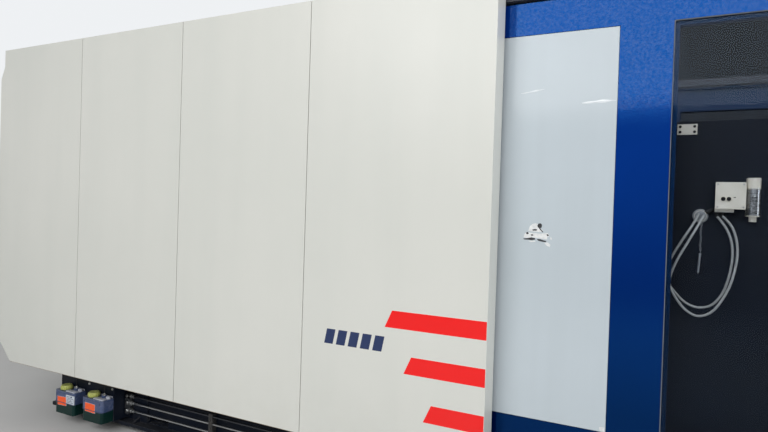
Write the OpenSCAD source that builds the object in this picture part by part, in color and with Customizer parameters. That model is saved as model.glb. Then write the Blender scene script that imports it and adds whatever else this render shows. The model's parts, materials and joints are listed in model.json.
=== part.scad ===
// Toggle clamp injection moulding machine in named sub-parts. Millimetres.
// X runs along the machine towards the injection end, -Y is the operator side, Z is up.

/* [Overall] */
// Overall length
machine_len = 12600; // [12400:50:12700]
// Overall width over the clamp covers
machine_w = 2600; // [2590:5:2640]
// Tail end to the fixed platen's mould face
clamp_len = 6200; // [6190:5:6230]
// Height of the clamp and barrel centre line
centre_h = 1300; // [1290:2:1310]
// Top of the hopper lid
hopper_top = 3300; // [3250:10:3400]

/* [Clamp covers] */
// Lower edge of the clamp covers
cover_bottom = 400; // [392:2:408]
// Upper edge of the clamp covers
cover_top = 2700; // [2690:5:2740]
// Opening that the door closes, from the covers to the fixed platen
door_span = 2400; // [2390:2:2410]
// Width of the cover panel beside the door
last_panel_w = 1010; // [1005:1:1015]
// Gap between two cover panels
seam = 4; // [3:0.5:6]
// Depth of a panel's folded edge
fold = 45; // [44:1:48]
// Sheet thickness
sheet = 4; // [3:0.5:5]
// Lower tail corner cut
corner_cut = 185; // [170:5:200]

/* [Clamp] */
// Largest mould height, which is the mould space at rest
mould_max = 1250; // [1240:5:1260]
// Platen width
platen_w = 1850; // [1830:10:1860]
// Platen height
platen_h = 1490; // [1480:5:1500]
// Fixed platen thickness
fixed_t = 420; // [400:10:440]
// Moving platen thickness
moving_t = 450; // [430:10:470]
// Rear platen thickness
rear_t = 400; // [380:10:420]
// Tie bar radius
bar_r = 100; // [90:1:100]
// Tie bar spacing across
bar_dy = 1260; // [1250:5:1270]
// Tie bar spacing in height
bar_dz = 1140; // [1130:5:1150]
// Length of each main toggle link between its pins
link_l = 950; // [945:1:955]
// Angle of the main links at rest
link_a = 3; // [2.5:0.1:3.5]
// Height of the toggle pins from the centre line
pin_dz = 250; // [245:1:255]
// Crosshead link length
cross_l = 550; // [545:1:555]
// Angle of the crosshead lug from the link
lug_a = 12; // [11:0.5:13]
// Main pin radius
pin_r = 58; // [54:1:60]
// Crosshead pin radius
cross_r = 45; // [42:1:46]
// Radial clearance of shafts and pins
slip = 0.05; // [0.03:0.01:0.08]
// Flat sliding and seating gap
seat = 0.3; // [0.2:0.05:0.3]

/* [Beds] */
// Clearance between the clamp bed and the platens above it
bed_drop = 55; // [50:1:60]
// Underside of the beds
bed_low = 40; // [36:1:50]
// Depth of the clamp bed's sides behind the covers
bed_in = 300; // [295:1:305]
// Drop from the barrel's centre line to the injection bed
deck_drop = 350; // [340:5:360]
// Depth of the injection bed's sides behind the covers
deck_in = 400; // [395:5:410]

/* [Doors] */
// Depth of the doors' outer faces behind the covers
door_in = 160; // [158:1:164]
// Door thickness
door_t = 50; // [46:1:52]
// Lower edge of the glazing
glaze_low = 660; // [650:5:670]
// Upper edge of the glazing
glaze_high = 2440; // [2420:5:2450]

/* [Injection] */
// Screw radius
screw_r = 60; // [55:1:60]
// Barrel radius
barrel_r = 130; // [125:1:132]
// Half spacing of the injection cylinders
inj_y = 430; // [425:1:435]
// Hopper radius
hopper_r = 450; // [430:5:455]

/* [Hidden] */

tail = -machine_len / 2;
fx = tail + clamp_len;
hy = machine_w / 2;
zc = centre_h;
bed_hy = hy - bed_in;
bed_top = zc - platen_h / 2 - bed_drop;
deck_hy = hy - deck_in;
deck = zc - deck_drop;
// width of each of the three panels towards the tail
panel_w = (clamp_len - door_span - last_panel_w) / 3;
// right edge of the covers
xc = tail + 3 * panel_w + last_panel_w;
bed_l = tail + 350;
bed_r = fx + 700;
way_top = bed_top + 20;
// inner face of the bed beams, and the ways on them
bed_in_y = bed_hy - 300;
way_y0 = bed_hy - 280;
way_y1 = bed_hy - 100;

// platens
ph = platen_h / 2;
pw = platen_w / 2;
by = bar_dy / 2;
bz = bar_dz / 2;
mf = fx - mould_max;
mb = mf - moving_t;
// pins of the main links: cx on the moving platen, ax on the rear platen
ear = 200;
cx = mb - ear;
ax = cx - 2 * link_l * cos(link_a);
rf = ax - ear;
rb = rf - rear_t;
kx = ax + link_l * cos(link_a);
kz = pin_dz + link_l * sin(link_a);
dx = ax + cross_l * cos(link_a + lug_a);
dz = pin_dz + cross_l * sin(link_a + lug_a);
ex = ax + 2 * cross_l * cos(link_a + lug_a);
// crosswise planes of the toggle
arm0 = 290;
arm1 = 410;
fork = 50;
fork_gap = 5;
eye_r = 110;
lug_r = 75;
cyl_end = rb - 1060;

// doors
dy = hy - door_in;
door_l = fx - 2750;
door_r = fx - 20;
door_low = 432;
door_top = 2590;
inf_l = door_l + 50;
inf_r = inf_l + 800;
win_l = inf_r + 210;
win_r = fx - 160;

// injection side
deck_l = bed_r;
deck_r = machine_len / 2;
rail_top = deck + 50;
tip = fx + 200;
housing_l = fx + 3000;
housing_r = housing_l + 400;
ram_l = housing_r + 880;
ram_r = ram_l + 200;
throat = housing_l + 200;
draw_z = rail_top + 80;
housing_top = zc + 300;
// hopper shell and its rim
hopper_low = housing_top + 110;
rim_z = hopper_top - 150;
// tank, pump bay and rear guard in the injection bed
tank_l = deck_l + 40;
tank_r = deck_r - 3060;
tank_len = tank_r - tank_l;
hatch_x = [tank_l + tank_len / 4, tank_l + tank_len * 0.7];
bay_l = deck_r - 3000;
guard_l = deck_r - 2850;
guard_pitch = (deck_r - 60 - guard_l - 240) / 3;
// lubrication units: their left edges and the bracket that holds them
lube_x = [tail + 600, tail + 897];
lube_y = -bed_hy - 130;
pipe_z = [134, 190, 239];
pipe_y = -bed_hy - 30;
pipe_l = tail + 1158;

// hoses from the round gland to the junction box: distance from the platen's
// back face, from its operator side, and from the centre line
hose_a = [
    [128, -45, 328], [128, -72, 328], [104, -100, 280], [68, -100, 215], [30, -100, 140],
    [4, -98, 58], [48, -98, -8], [90, -98, -50], [140, -96, -67], [194, -94, -48],
    [236, -90, 22], [258, -84, 130], [256, -74, 210], [238, -58, 268], [212, -42, 310],
    [198, -35, 328], [198, -35, 343]
];
hose_b = [
    [146, -45, 322], [146, -84, 322], [120, -124, 270], [88, -126, 205], [48, -126, 120],
    [26, -124, 32], [62, -122, -44], [104, -120, -88], [148, -116, -100], [200, -110, -68],
    [250, -104, 28], [274, -94, 136], [274, -82, 214], [258, -62, 276], [232, -44, 314],
    [216, -35, 330], [216, -35, 343]
];
// thin hose of a lubrication unit, from its outlet up and back to the bracket:
// distance from the unit's left edge, from the bracket's face, and height
lube_hose = [
    [163, -35, 262], [163, -35, 300], [161, -32, 332], [157, -16, 358],
    [151, 5, 368], [144, 30, 366], [140, 43, 358], [140, 45, 351], [140, 45, 345]
];

$fn = 40;

module box(x0, x1, y0, y1, z0, z1) {
    translate([x0, y0, z0])
        cube([x1 - x0, y1 - y0, z1 - z0]);
}

module rod_x(x0, x1, y, z, r, fn = 40) {
    translate([x0, y, z])
        rotate([0, 90, 0])
            cylinder(h = x1 - x0, r = r, $fn = fn);
}

module rod_y(x, z, y0, y1, r, fn = 32) {
    translate([x, y1, z])
        rotate([90, 0, 0])
            cylinder(h = y1 - y0, r = r, $fn = fn);
}

module rod_z(x, y, z0, z1, r, fn = 32) {
    translate([x, y, z0])
        cylinder(h = z1 - z0, r = r, $fn = fn);
}

module both_sides() {
    for (s = [0, 1])
        mirror([0, s, 0])
            children();
}

module flipped(up) {
    translate([0, 0, zc])
        mirror([0, 0, up ? 0 : 1])
            children();
}

module profile_x(x0, x1, pts) {
    translate([x0, 0, 0])
        rotate([90, 0, 90])
            linear_extrude(x1 - x0)
                polygon(pts);
}

module profile_y(y0, y1, pts) {
    translate([0, y1, 0])
        rotate([90, 0, 0])
            linear_extrude(y1 - y0)
                polygon(pts);
}

// beds

module bed_beam() {
    bays = 8;
    pitch = (bed_r - bed_l) / bays;
    difference() {
        box(bed_l, bed_r, -bed_hy, -bed_in_y, bed_low, bed_top);
        for (i = [0 : bays - 1])
            box(bed_l + i * pitch + 15, bed_l + (i + 1) * pitch - 15, -bed_hy + 30, -bed_in_y + 1, bed_low + 40, bed_top - 40);
        // lifting pocket
        box(tail + 1315, tail + 1500, -bed_hy - 1, -bed_hy + 31, bed_low + 32, bed_low + 85);
    }
    // foot flange and a stiffening post
    box(bed_l, bed_r, -bed_hy - 70, -bed_hy, bed_low, bed_low + 25);
    box(tail + 1170, tail + 1310, -bed_hy - 12, -bed_hy, bed_low + 25, 360);
    for (x = [bed_l + 40 : 840 : bed_r - 40])
        profile_x(x - 8, x + 8, [
            [-bed_hy, bed_low + 25], [-bed_hy - 62, bed_low + 25], [-bed_hy - 62, bed_low + 33], [-bed_hy, bed_low + 62]
        ]);
}

// folded bracket that carries the lubrication units and their hoses
module lube_bracket() {
    x0 = lube_x[0] - 20;
    x1 = lube_x[1] + 215;
    difference() {
        box(x0, x1, lube_y, -bed_hy, 76, 330);
        box(x0 + 6, x1 - 6, lube_y + 6, -bed_hy + 1, 75, 324);
    }
    for (x = lube_x)
        rod_z(x + 140, lube_y + 45, 330, 345, 8, 6);
}

module bed_front_beam() {
    color([0.06, 0.08, 0.12]) {
        bed_beam();
        lube_bracket();
    }
}

module bed_rear_beam() {
    color([0.06, 0.08, 0.12])
        mirror([0, 1, 0])
            bed_beam();
}

module bed_cross_members() {
    spans = [[bed_l, bed_l + 300], [rb - 260, rb + 40], [mb - 150, mb + 150], [fx - 80, fx + 480]];
    color([0.06, 0.08, 0.12])
        for (s = spans)
            difference() {
                box(s[0], s[1], -bed_in_y, bed_in_y, bed_low, bed_top);
                box(s[0] - 1, s[1] + 1, -bed_in_y + 60, bed_in_y - 60, bed_low + 40, bed_top - 60);
            }
}

module slide_ways() {
    color([0.6, 0.62, 0.63]) {
        both_sides()
            box(rb - 330, fx - 60, way_y0, way_y1, bed_top, way_top);
        both_sides()
            difference() {
                box(deck_l + 80, deck_r - 1100, 390, 450, deck, rail_top);
                for (y = [380, 435])
                    box(deck_l, deck_r, y, y + 25, deck + 14, deck + 30);
            }
        // piston rods that draw the carriage, fixed to the platen
        both_sides() {
            rod_x(fx + fixed_t, housing_l - 280, 540, draw_z, 28);
            rod_x(housing_l - 320, housing_l - 280, 540, draw_z, 40 - slip);
        }
    }
}

module injection_bed() {
    color([0.09, 0.12, 0.18]) {
        difference() {
            box(deck_l, deck_r, -deck_hy, deck_hy, bed_low, deck);
            // oil tank and its cleaning holes
            box(tank_l, tank_r, -deck_hy + 40, deck_hy - 40, bed_low + 40, deck - 40);
            for (x = hatch_x)
                rod_y(x, 480, -deck_hy - 1, -deck_hy + 41, 190);
            // pump bay
            box(bay_l, deck_r - 1300, -deck_hy - 1, deck_hy - 120, 120, deck - 80);
            // end compartment
            box(deck_r - 1240, deck_r + 1, -deck_hy + 40, deck_hy - 40, bed_low + 40, deck - 40);
        }
        // hatch covers with their bolts
        for (x = hatch_x) {
            rod_y(x, 480, -deck_hy - 12, -deck_hy, 235);
            for (a = [0 : 45 : 315])
                rod_y(x + 212 * cos(a), 480 + 212 * sin(a), -deck_hy - 20, -deck_hy - 12, 12, 14);
        }
        // level gauge and filler
        box(tank_l + tank_len * 0.45 - 10, tank_l + tank_len * 0.45 + 40, -deck_hy - 25, -deck_hy, 420, 760);
        rod_z(tank_l + 360, -deck_hy + 120, deck, deck + 90, 45, 24);
        rod_z(tank_l + 360, -deck_hy + 120, deck + 90, deck + 120, 60, 24);
    }
}

module leveling_pads() {
    xs = [bed_l + 150, bed_l + 1300, rb + 60, mb - 900, mb, fx - 300, fx + 500];
    color([0.3, 0.3, 0.32]) {
        both_sides() {
            for (x = xs) {
                rod_z(x, bed_hy - 150, 0, 22, 90, 24);
                rod_z(x, bed_hy - 150, 22, bed_low, 28, 16);
            }
            for (x = [deck_l + 250, deck_l + 1900, deck_r - 2100, deck_r - 250]) {
                rod_z(x, deck_hy - 140, 0, 22, 90, 24);
                rod_z(x, deck_hy - 140, 22, bed_low, 28, 16);
            }
        }
    }
}

// fixed clamp parts

module bar_holes(x0, x1) {
    for (y = [-by, by], z = [zc - bz, zc + bz])
        rod_x(x0, x1, y, z, bar_r + slip);
}

module mould_holes(x0, x1) {
    for (y = [-420, -210, 210, 420], z = [-350, -140, 140, 350])
        rod_x(x0, x1, y, zc + z, 15, 16);
}

module fixed_platen() {
    color([0.12, 0.2, 0.42])
        difference() {
            union() {
                box(fx, fx + fixed_t, -pw, pw, zc - ph, zc + ph);
                both_sides()
                    box(fx + 40, fx + fixed_t - 40, bed_in_y, pw, bed_top, zc - ph);
            }
            bar_holes(fx - 1, fx + fixed_t + 1);
            mould_holes(fx - 1, fx + 70);
            rod_x(fx - 1, fx + 40, 0, zc, 125, 64);
            rod_x(fx + 39, fx + fixed_t + 1, 0, zc, 80, 48);
            translate([fx + 120, 0, zc])
                rotate([0, 90, 0])
                    cylinder(h = fixed_t - 119, r1 = 80, r2 = 300, $fn = 48);
            // side pockets
            both_sides()
                box(fx + 70, fx + fixed_t - 70, pw - 60, pw + 1, zc - 420, zc + 420);
        }
}

module tie_bars() {
    color([0.75, 0.76, 0.78])
        for (y = [-by, by], z = [zc - bz, zc + bz]) {
            rod_x(rb - 290, fx + fixed_t + 170, y, z, bar_r);
            translate([rb - 290, y, z])
                rotate([0, -90, 0])
                    cylinder(h = 12, r1 = bar_r, r2 = bar_r - 12, $fn = 40);
        }
}

module tie_bar_nuts() {
    color([0.3, 0.31, 0.33])
        for (y = [-by, by], z = [zc - bz, zc + bz])
            difference() {
                union() {
                    rod_x(fx + fixed_t, fx + fixed_t + 40, y, z, 170);
                    rod_x(fx + fixed_t + 40, fx + fixed_t + 140, y, z, 150, 6);
                }
                rod_x(fx + fixed_t - 1, fx + fixed_t + 141, y, z, bar_r + slip);
            }
}

// covers

module tray(x0, x1, z0, z1) {
    // a folded panel facing -Y
    difference() {
        box(x0, x1, -hy, -hy + fold, z0, z1);
        box(x0 + sheet, x1 - sheet, -hy + sheet, -hy + fold + 1, z0 + sheet, z1 - sheet);
    }
}

module cover_panel(n) {
    x1 = xc - (n < 4 ? last_panel_w + (3 - n) * panel_w + seam : 0);
    x0 = n < 4 ? x1 - panel_w + seam : xc - last_panel_w;
    if (n == 1)
        difference() {
            tray(tail, x1, cover_bottom, cover_top);
            tail_cut(0);
        }
    else
        tray(x0, x1, cover_bottom, cover_top);
    if (n == 1)
        intersection() {
            box(tail, x1, -hy, -hy + fold, cover_bottom, cover_top);
            difference() {
                tail_cut(-sheet);
                tail_cut(0);
            }
        }
    if (n == 4)
        box(xc - sheet, xc, -hy, -hy + 120, cover_bottom, cover_top);
}

// what is cut off the covers' tail corners, grown inwards by -g
module tail_cut(g) {
    profile_y(-hy - 1, -hy + fold + 2, [
        [tail - 10, cover_bottom - 10],
        [tail + corner_cut - g + 10, cover_bottom - 10],
        [tail - 10, cover_bottom + corner_cut - g + 10]
    ]);
    profile_y(-hy - 1, -hy + fold + 2, [
        [tail - 10, cover_top - 210],
        [tail - g, cover_top - 210],
        [tail + 43 - g, cover_top - 120],
        [tail + 43 - g, cover_top + 10],
        [tail - 10, cover_top + 10]
    ]);
}

module front_cover_panel_1() {
    color([0.87, 0.87, 0.84])
        cover_panel(1);
}

module front_cover_panel_2() {
    color([0.87, 0.87, 0.84])
        cover_panel(2);
}

module front_cover_panel_3() {
    color([0.87, 0.87, 0.84])
        cover_panel(3);
}

module front_cover_panel_4() {
    color([0.87, 0.87, 0.84])
        cover_panel(4);
}

module rear_cover_panels() {
    color([0.87, 0.87, 0.84])
        mirror([0, 1, 0])
            for (n = [1 : 4])
                cover_panel(n);
}

// centres of the frame's posts, one behind each seam
posts = [
    tail + 100, xc - last_panel_w - 2 * panel_w, xc - last_panel_w - panel_w, xc - last_panel_w, xc - 60
];
post_y = hy - fold;
roof_z = cover_top - 6;

module cover_frame() {
    color([0.2, 0.21, 0.23]) {
        both_sides() {
            for (i = [0 : 4])
                box(
                    posts[i] - 30, posts[i] + 30, post_y - 60, post_y,
                    i == 0 ? cover_bottom + corner_cut - 50 : 428, roof_z - 44 - seat
                );
            box(tail + 230, xc - 30, post_y - 60, post_y, 380, 428 - seat);
            for (i = [1 : 4])
                box(posts[i] - 30, posts[i] + 30, bed_hy, post_y - 60 - seat, 380, 428 - seat);
            // posts beside the fixed platen
            box(fx + 500, fx + 580, 930, 990, bed_top, door_top + 10 - seat);
            for (z = [600, 1500, door_top - 70])
                box(fx + 500, fx + 570, 990 + seat, dy - sheet, z, z + 60);
        }
        for (x = posts)
            box(x - 30, x + 30, -post_y, post_y, roof_z - 44, roof_z);
        box(fx + 500, fx + 580, -dy - 25, dy + 25, door_top + 10, door_top + 60);
    }
}

module tail_and_top_cover() {
    color([0.87, 0.87, 0.84]) {
        // roof
        box(tail + 43, xc - sheet - seat, -post_y, post_y, roof_z, cover_top);
        // lower slope, tail sheet and upper slope
        profile_y(-post_y, post_y, [
            [tail + corner_cut, cover_bottom],
            [tail + 1, cover_bottom + corner_cut - 1],
            [tail + sheet + 2, cover_bottom + corner_cut],
            [tail + corner_cut + 2, cover_bottom + sheet]
        ]);
        difference() {
            box(tail, tail + sheet, -post_y, post_y, cover_bottom + corner_cut, cover_top - 210);
            for (y = [-900, -450, 0, 450], z = [1700 : 60 : 2120])
                box(tail - 1, tail + sheet + 1, y, y + 400, z, z + 18);
        }
        profile_y(-post_y, post_y, [
            [tail, cover_top - 210 + seat],
            [tail + 43, cover_top - 120],
            [tail + 43, roof_z - seat],
            [tail + 43 + sheet, roof_z - seat],
            [tail + 43 + sheet, cover_top - 121],
            [tail + sheet, cover_top - 210 + seat]
        ]);
        // returns that meet the posts
        both_sides()
            box(tail + sheet + seat, tail + 70, post_y - sheet, post_y, cover_bottom + corner_cut + 20, cover_top - 215);
    }
}

module door_rails() {
    rl = door_l - 2140;
    color([0.55, 0.57, 0.6])
        both_sides() {
            difference() {
                box(rl, fx + 500, dy - 80, dy + 25, door_top + 10, roof_z - 44);
                box(rl - 1, fx + 501, dy - 55, dy, door_top + 20, roof_z - 58);
                box(rl - 1, fx + 501, dy - 40, dy - 15, door_top, door_top + 21);
            }
            // lower guide bar and its brackets
            box(rl, fx + 480, dy - door_t - 20, dy - door_t - 4, 430, 470);
            for (x = [rl, posts[2] - 30, posts[3] - 30, posts[4] - 30, fx - 900, fx + 420])
                box(x, x + 60, bed_hy, dy - door_t - 4, 428, 440);
        }
}

module fixed_side_covers() {
    color([0.05, 0.18, 0.5]) {
        both_sides()
            difference() {
                box(door_r + 6, fx + 580, dy - 34, dy, door_low, door_top);
                box(door_r + 10, fx + 576, dy - 35, dy - sheet, door_low + sheet, door_top - sheet);
            }
        // pin of the control panel's arm
        for (z = [1330, 1540])
            box(hx - 30, hx + 30, -hpin - 18, -dy, z, z + 20);
        rod_z(hx, -hpin, 1350, 1540, 15, 24);
    }
}

hx = fx + 500;
hpin = dy + 45;

// lubrication and pipes

// upright box with rounded front edges, open to the back
module soft_box(x0, x1, y0, y1, z0, z1, r) {
    translate([0, 0, z0])
        linear_extrude(z1 - z0) {
            translate([x0, y0 + r])
                square([x1 - x0, y1 - y0 - r]);
            translate([x0 + r, y0])
                square([x1 - x0 - 2 * r, r + 1]);
            for (x = [x0 + r, x1 - r])
                translate([x, y0 + r])
                    circle(r = r, $fn = 24);
        }
}

module lube_tanks() {
    color([0.06, 0.16, 0.14])
        for (x = lube_x)
            soft_box(x + 3, x + 208, lube_y - 88, lube_y, 80, 160, 18);
}

module lube_heads() {
    color([0.24, 0.3, 0.55])
        for (x = lube_x) {
            difference() {
                soft_box(x, x + 211, lube_y - 90, lube_y, 160, 240, 20);
                // groove under the lid's rim
                box(x - 1, x + 212, lube_y - 91, lube_y - 87, 224, 228);
            }
            // filler neck and outlet block
            rod_z(x + 68, lube_y - 45, 240, 254, 30, 28);
            box(x + 151, x + 175, lube_y - 47, lube_y - 23, 240, 262);
        }
}

// thin hoses that the units' outlets and the bracket's fittings hold
module lube_hoses() {
    color([0.08, 0.08, 0.09])
        for (x = lube_x)
            translate([x, lube_y, 0])
                tube(lube_hose, 3, 3, 8, [1, 0, 0]);
}

module bed_pipes() {
    color([0.7, 0.71, 0.72]) {
        for (z = pipe_z) {
            rod_x(pipe_l, fx - 300, pipe_y, z, 7, 16);
            rod_x(pipe_l, pipe_l + 36, pipe_y, z, 12, 6);
        }
        box(pipe_l - 38, pipe_l, pipe_y - 16, -bed_hy, 112, 262);
        box(fx - 300, fx - 240, pipe_y - 20, -bed_hy, 112, 262);
        for (x = [tail + 1900 : 1000 : fx - 800])
            difference() {
                box(x, x + 30, pipe_y - 10, -bed_hy, 118, 256);
                for (z = pipe_z)
                    rod_x(x - 1, x + 31, pipe_y, z, 7.2, 16);
            }
    }
}

// cabinet, pumps and guards

cab_l = deck_r - 2200;
cab_r = cab_l + 1100;
cab_y = hy - 28;
hinge_z = [300, 1040, 1780];

module electric_cabinet() {
    color([0.8, 0.81, 0.79]) {
        difference() {
            box(cab_l, cab_r, deck_hy, cab_y - 18 - seat, 100, 2050);
            box(cab_l + 6, cab_r - 6, deck_hy + 6, cab_y - 17, 106, 2044);
        }
        for (z = hinge_z) {
            rod_z(cab_l, cab_y, z + 40, z + 80, 8, 24);
            box(cab_l - 8, cab_l, cab_y - 70, cab_y, z + 40, z + 80);
        }
        box(cab_l + 20, cab_r - 20, deck_hy, cab_y - 40, 0, 100);
        // mounting plate with the drives and terminals
        box(cab_l + 60, cab_r - 60, deck_hy + 6, deck_hy + 30, 200, 1950);
        for (x = [0, 1, 2])
            box(cab_l + 120 + x * 300, cab_l + 340 + x * 300, deck_hy + 30, deck_hy + 230, 1200, 1750);
        for (z = [350, 620, 890])
            box(cab_l + 120, cab_r - 120, deck_hy + 30, deck_hy + 120, z, z + 130);
    }
}

module cabinet_door() {
    color([0.8, 0.81, 0.79]) {
        difference() {
            union() {
                box(cab_l + 4, cab_r - 4, cab_y - 18, cab_y, 104, 2046);
                for (z = hinge_z)
                    rod_z(cab_l, cab_y, z, z + 39.5, 8, 24);
            }
            box(cab_l + 20, cab_r - 12, cab_y - 19, cab_y - 3, 112, 2038);
            for (z = [1720 : 40 : 1920])
                box(cab_l + 350, cab_r - 350, cab_y - 4, cab_y + 1, z, z + 14);
            for (z = hinge_z)
                rod_z(cab_l, cab_y, z + 39.5, z + 81, 10, 24);
        }
        box(cab_r - 80, cab_r - 40, cab_y, hy, 1000, 1160);
    }
}

module pump_motors() {
    color([0.16, 0.26, 0.5])
        for (y = [-640, -240]) {
            rod_x(bay_l + 850, bay_l + 1400, y, 400, 145, 36);
            rod_x(bay_l + 1400, bay_l + 1480, y, 400, 120, 36);
            box(bay_l + 1000, bay_l + 1200, y - 90, y + 90, 535, 640);
            box(bay_l + 900, bay_l + 980, y - 120, y + 120, 120, 400);
            box(bay_l + 1280, bay_l + 1360, y - 120, y + 120, 120, 400);
        }
}

module pumps_and_valves() {
    color([0.35, 0.37, 0.4]) {
        for (y = [-640, -240]) {
            rod_x(bay_l + 730, bay_l + 850, y, 400, 110, 32);
            rod_x(bay_l + 560, bay_l + 730, y, 400, 75, 32);
            rod_z(bay_l + 640, y, 475, 700, 25, 20);
            box(bay_l + 580, bay_l + 700, y - 60, y + 60, 440, 480);
        }
        // manifold with its valves, standing on the bay's floor
        box(bay_l + 50, bay_l + 400, -800, -120, 120, 520);
        box(bay_l + 400, bay_l + 560, -690, -590, 350, 450);
        box(bay_l + 400, bay_l + 560, -290, -190, 350, 450);
        for (y = [-720, -560, -400, -240]) {
            box(bay_l + 140, bay_l + 280, y, y + 90, 520, 590);
            rod_x(bay_l + 280, bay_l + 370, y + 45, 555, 28, 20);
            rod_x(bay_l + 70, bay_l + 140, y + 45, 555, 28, 20);
        }
        box(bay_l + 600, bay_l + 680, -640, -240, 680, 730);
    }
}

guard_top = deck + 690;

module injection_guard() {
    color([0.87, 0.87, 0.84]) {
        both_sides()
            difference() {
                union() {
                    box(guard_l, deck_r - 60, deck_hy - 20, deck_hy - 16, deck, guard_top);
                    box(guard_l, deck_r - 60, deck_hy - 50, deck_hy - 16, guard_top - 4, guard_top);
                    box(guard_l, deck_r - 60, deck_hy - 50, deck_hy - 16, deck, deck + 4);
                    box(guard_l, guard_l + 4, deck_hy - 50, deck_hy - 16, deck, guard_top);
                }
                for (i = [0 : 2])
                    box(
                        guard_l + 200 + i * guard_pitch, guard_l + (i + 1) * guard_pitch - 30,
                        deck_hy - 21, deck_hy - 15, deck + 230, guard_top - 100
                    );
            }
        difference() {
            box(deck_r - 60 + seat, deck_r - 56, -deck_hy + 16, deck_hy - 16, deck, guard_top);
            box(deck_r - 61, deck_r - 55, -500, 500, deck + 230, guard_top - 100);
        }
        // louvred end plate of the bed
        difference() {
            box(deck_r - 30, deck_r, -deck_hy + 40, deck_hy - 40, bed_low + 40, deck - 40);
            for (y = [-700, 140], z = [220 : 80 : deck - 170])
                box(deck_r - 31, deck_r + 1, y, y + 560, z, z + 24);
        }
    }
}

module purge_guard() {
    color([0.05, 0.18, 0.5])
        difference() {
            box(fx + 440, fx + 1160, -475, 475, deck + seat, zc + 440);
            box(fx + 439, fx + 1161, -471, 471, deck - 1, zc + 436);
            both_sides()
                box(fx + 520, fx + 1080, 470, 476, zc - 180, zc + 340);
            box(fx + 520, fx + 1080, -380, 380, zc + 435, zc + 441);
        }
}

// control panel

module hmi_panel() {
    color([0.8, 0.81, 0.8])
        difference() {
            union() {
                box(hx - 440, hx - 20, -hy + 12, -hpin - 20, 1180, 1720);
                box(hx - 40, hx + 28, -hpin - 20, -hpin + 12, 1352, 1538);
                box(hx - 20, hx + 28, -hpin - 34, -hpin - 20, 1380, 1510);
            }
            rod_z(hx, -hpin, 1351, 1539, 15 + slip, 24);
            box(hx - 400, hx - 60, -hy + 11, -hy + 18, 1420, 1680);
            rod_y(hx - 100, 1240, -hy + 11, -hy + 51, 14 + slip, 24);
            box(hx - 21, hx + 29, -hpin - 35, -hpin - 16, 1179, 1379);
        }
}

module hmi_screen() {
    color([0.03, 0.04, 0.06])
        box(hx - 399, hx - 61, -hy + 13, -hy + 18, 1421, 1679);
}

module estop_button() {
    color([0.8, 0.03, 0.03]) {
        rod_y(hx - 100, 1240, -hy + 6, -hy + 44, 14, 24);
        rod_y(hx - 100, 1240, -hy, -hy + 6, 22, 28);
    }
}

// doors

module door_leaf() {
    // a door facing -Y, mirrored for the rear
    y0 = -dy;
    y1 = -dy + door_t;
    difference() {
        box(door_l, door_r, y0, y1, door_low, door_top);
        box(inf_l, inf_r, y0 - 1, y0 + 21, glaze_low, glaze_high);
        box(inf_l + 25, inf_r - 25, y0 + 20, y1 + 1, glaze_low + 25, glaze_high - 25);
        box(win_l, win_r, y0 - 1, y0 + 15, glaze_low, glaze_high);
        box(win_l + 22, win_r - 22, y0 + 14, y1 + 1, glaze_low + 22, glaze_high - 22);
        // hollow between the skins, open to the inside
        box(inf_r + 20, win_l - 20, y0 + 4, y1 + 1, glaze_low, glaze_high);
        box(door_l + 8, door_r - 8, y0 + 4, y1 + 1, door_low + 8, glaze_low - 30);
        box(door_l + 8, door_r - 8, y0 + 4, y1 + 1, glaze_high + 30, door_top - 8);
    }
    // gliders in the upper rail
    for (x = [door_l + 150, (door_l + door_r) / 2, door_r - 250]) {
        box(x, x + 100, y0 + 20, y0 + 35, door_top - 8, door_top + 22);
        box(x, x + 100, y0 + 8, y0 + 47, door_top + 20 + seat, door_top + 36);
    }
}

module front_door_frame() {
    color([0.03, 0.16, 0.5])
        door_leaf();
}

module rear_door_frame() {
    color([0.03, 0.16, 0.5])
        mirror([0, 1, 0])
            door_leaf();
}

module front_door_panel() {
    color([0.76, 0.81, 0.84])
        box(inf_l + 2, inf_r - 2, -dy + 1, -dy + 21 - seat, glaze_low + 2, glaze_high - 2);
}

module front_door_window() {
    color([0.05, 0.08, 0.13])
        box(win_l + 2, win_r - 2, -dy + 7, -dy + 15 - seat, glaze_low + 2, glaze_high - 2);
}

module rear_door_window() {
    color([0.05, 0.08, 0.13]) {
        box(win_l + 2, win_r - 2, dy - 15 + seat, dy - 7, glaze_low + 2, glaze_high - 2);
        box(inf_l + 2, inf_r - 2, dy - 21 + seat, dy - 1, glaze_low + 2, glaze_high - 2);
    }
}

module front_door_handle() {
    color([0.1, 0.1, 0.11])
        both_sides_handle();
}

module both_sides_handle() {
    rod_z(door_r - 70, -dy - 50, 1000, 1420, 14, 24);
    for (z = [1030, 1390])
        rod_y(door_r - 70, z, -dy - 50, -dy, 11, 20);
    for (z = [1030, 1390])
        rod_y(door_r - 70, z, -dy - 6, -dy, 24, 20);
}

// clamp mechanism, closed at the largest mould height

module ear_pair(x, z, toward) {
    // ears on both sides of each link arm; toward is the face that they stand on
    both_sides()
        for (y = [arm0 - fork - fork_gap, arm1 + fork_gap]) {
            box(min(x, toward), max(x, toward), y, y + fork, z - 95, z + 95);
            rod_y(x, z, y, y + fork, eye_r);
        }
}

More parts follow.
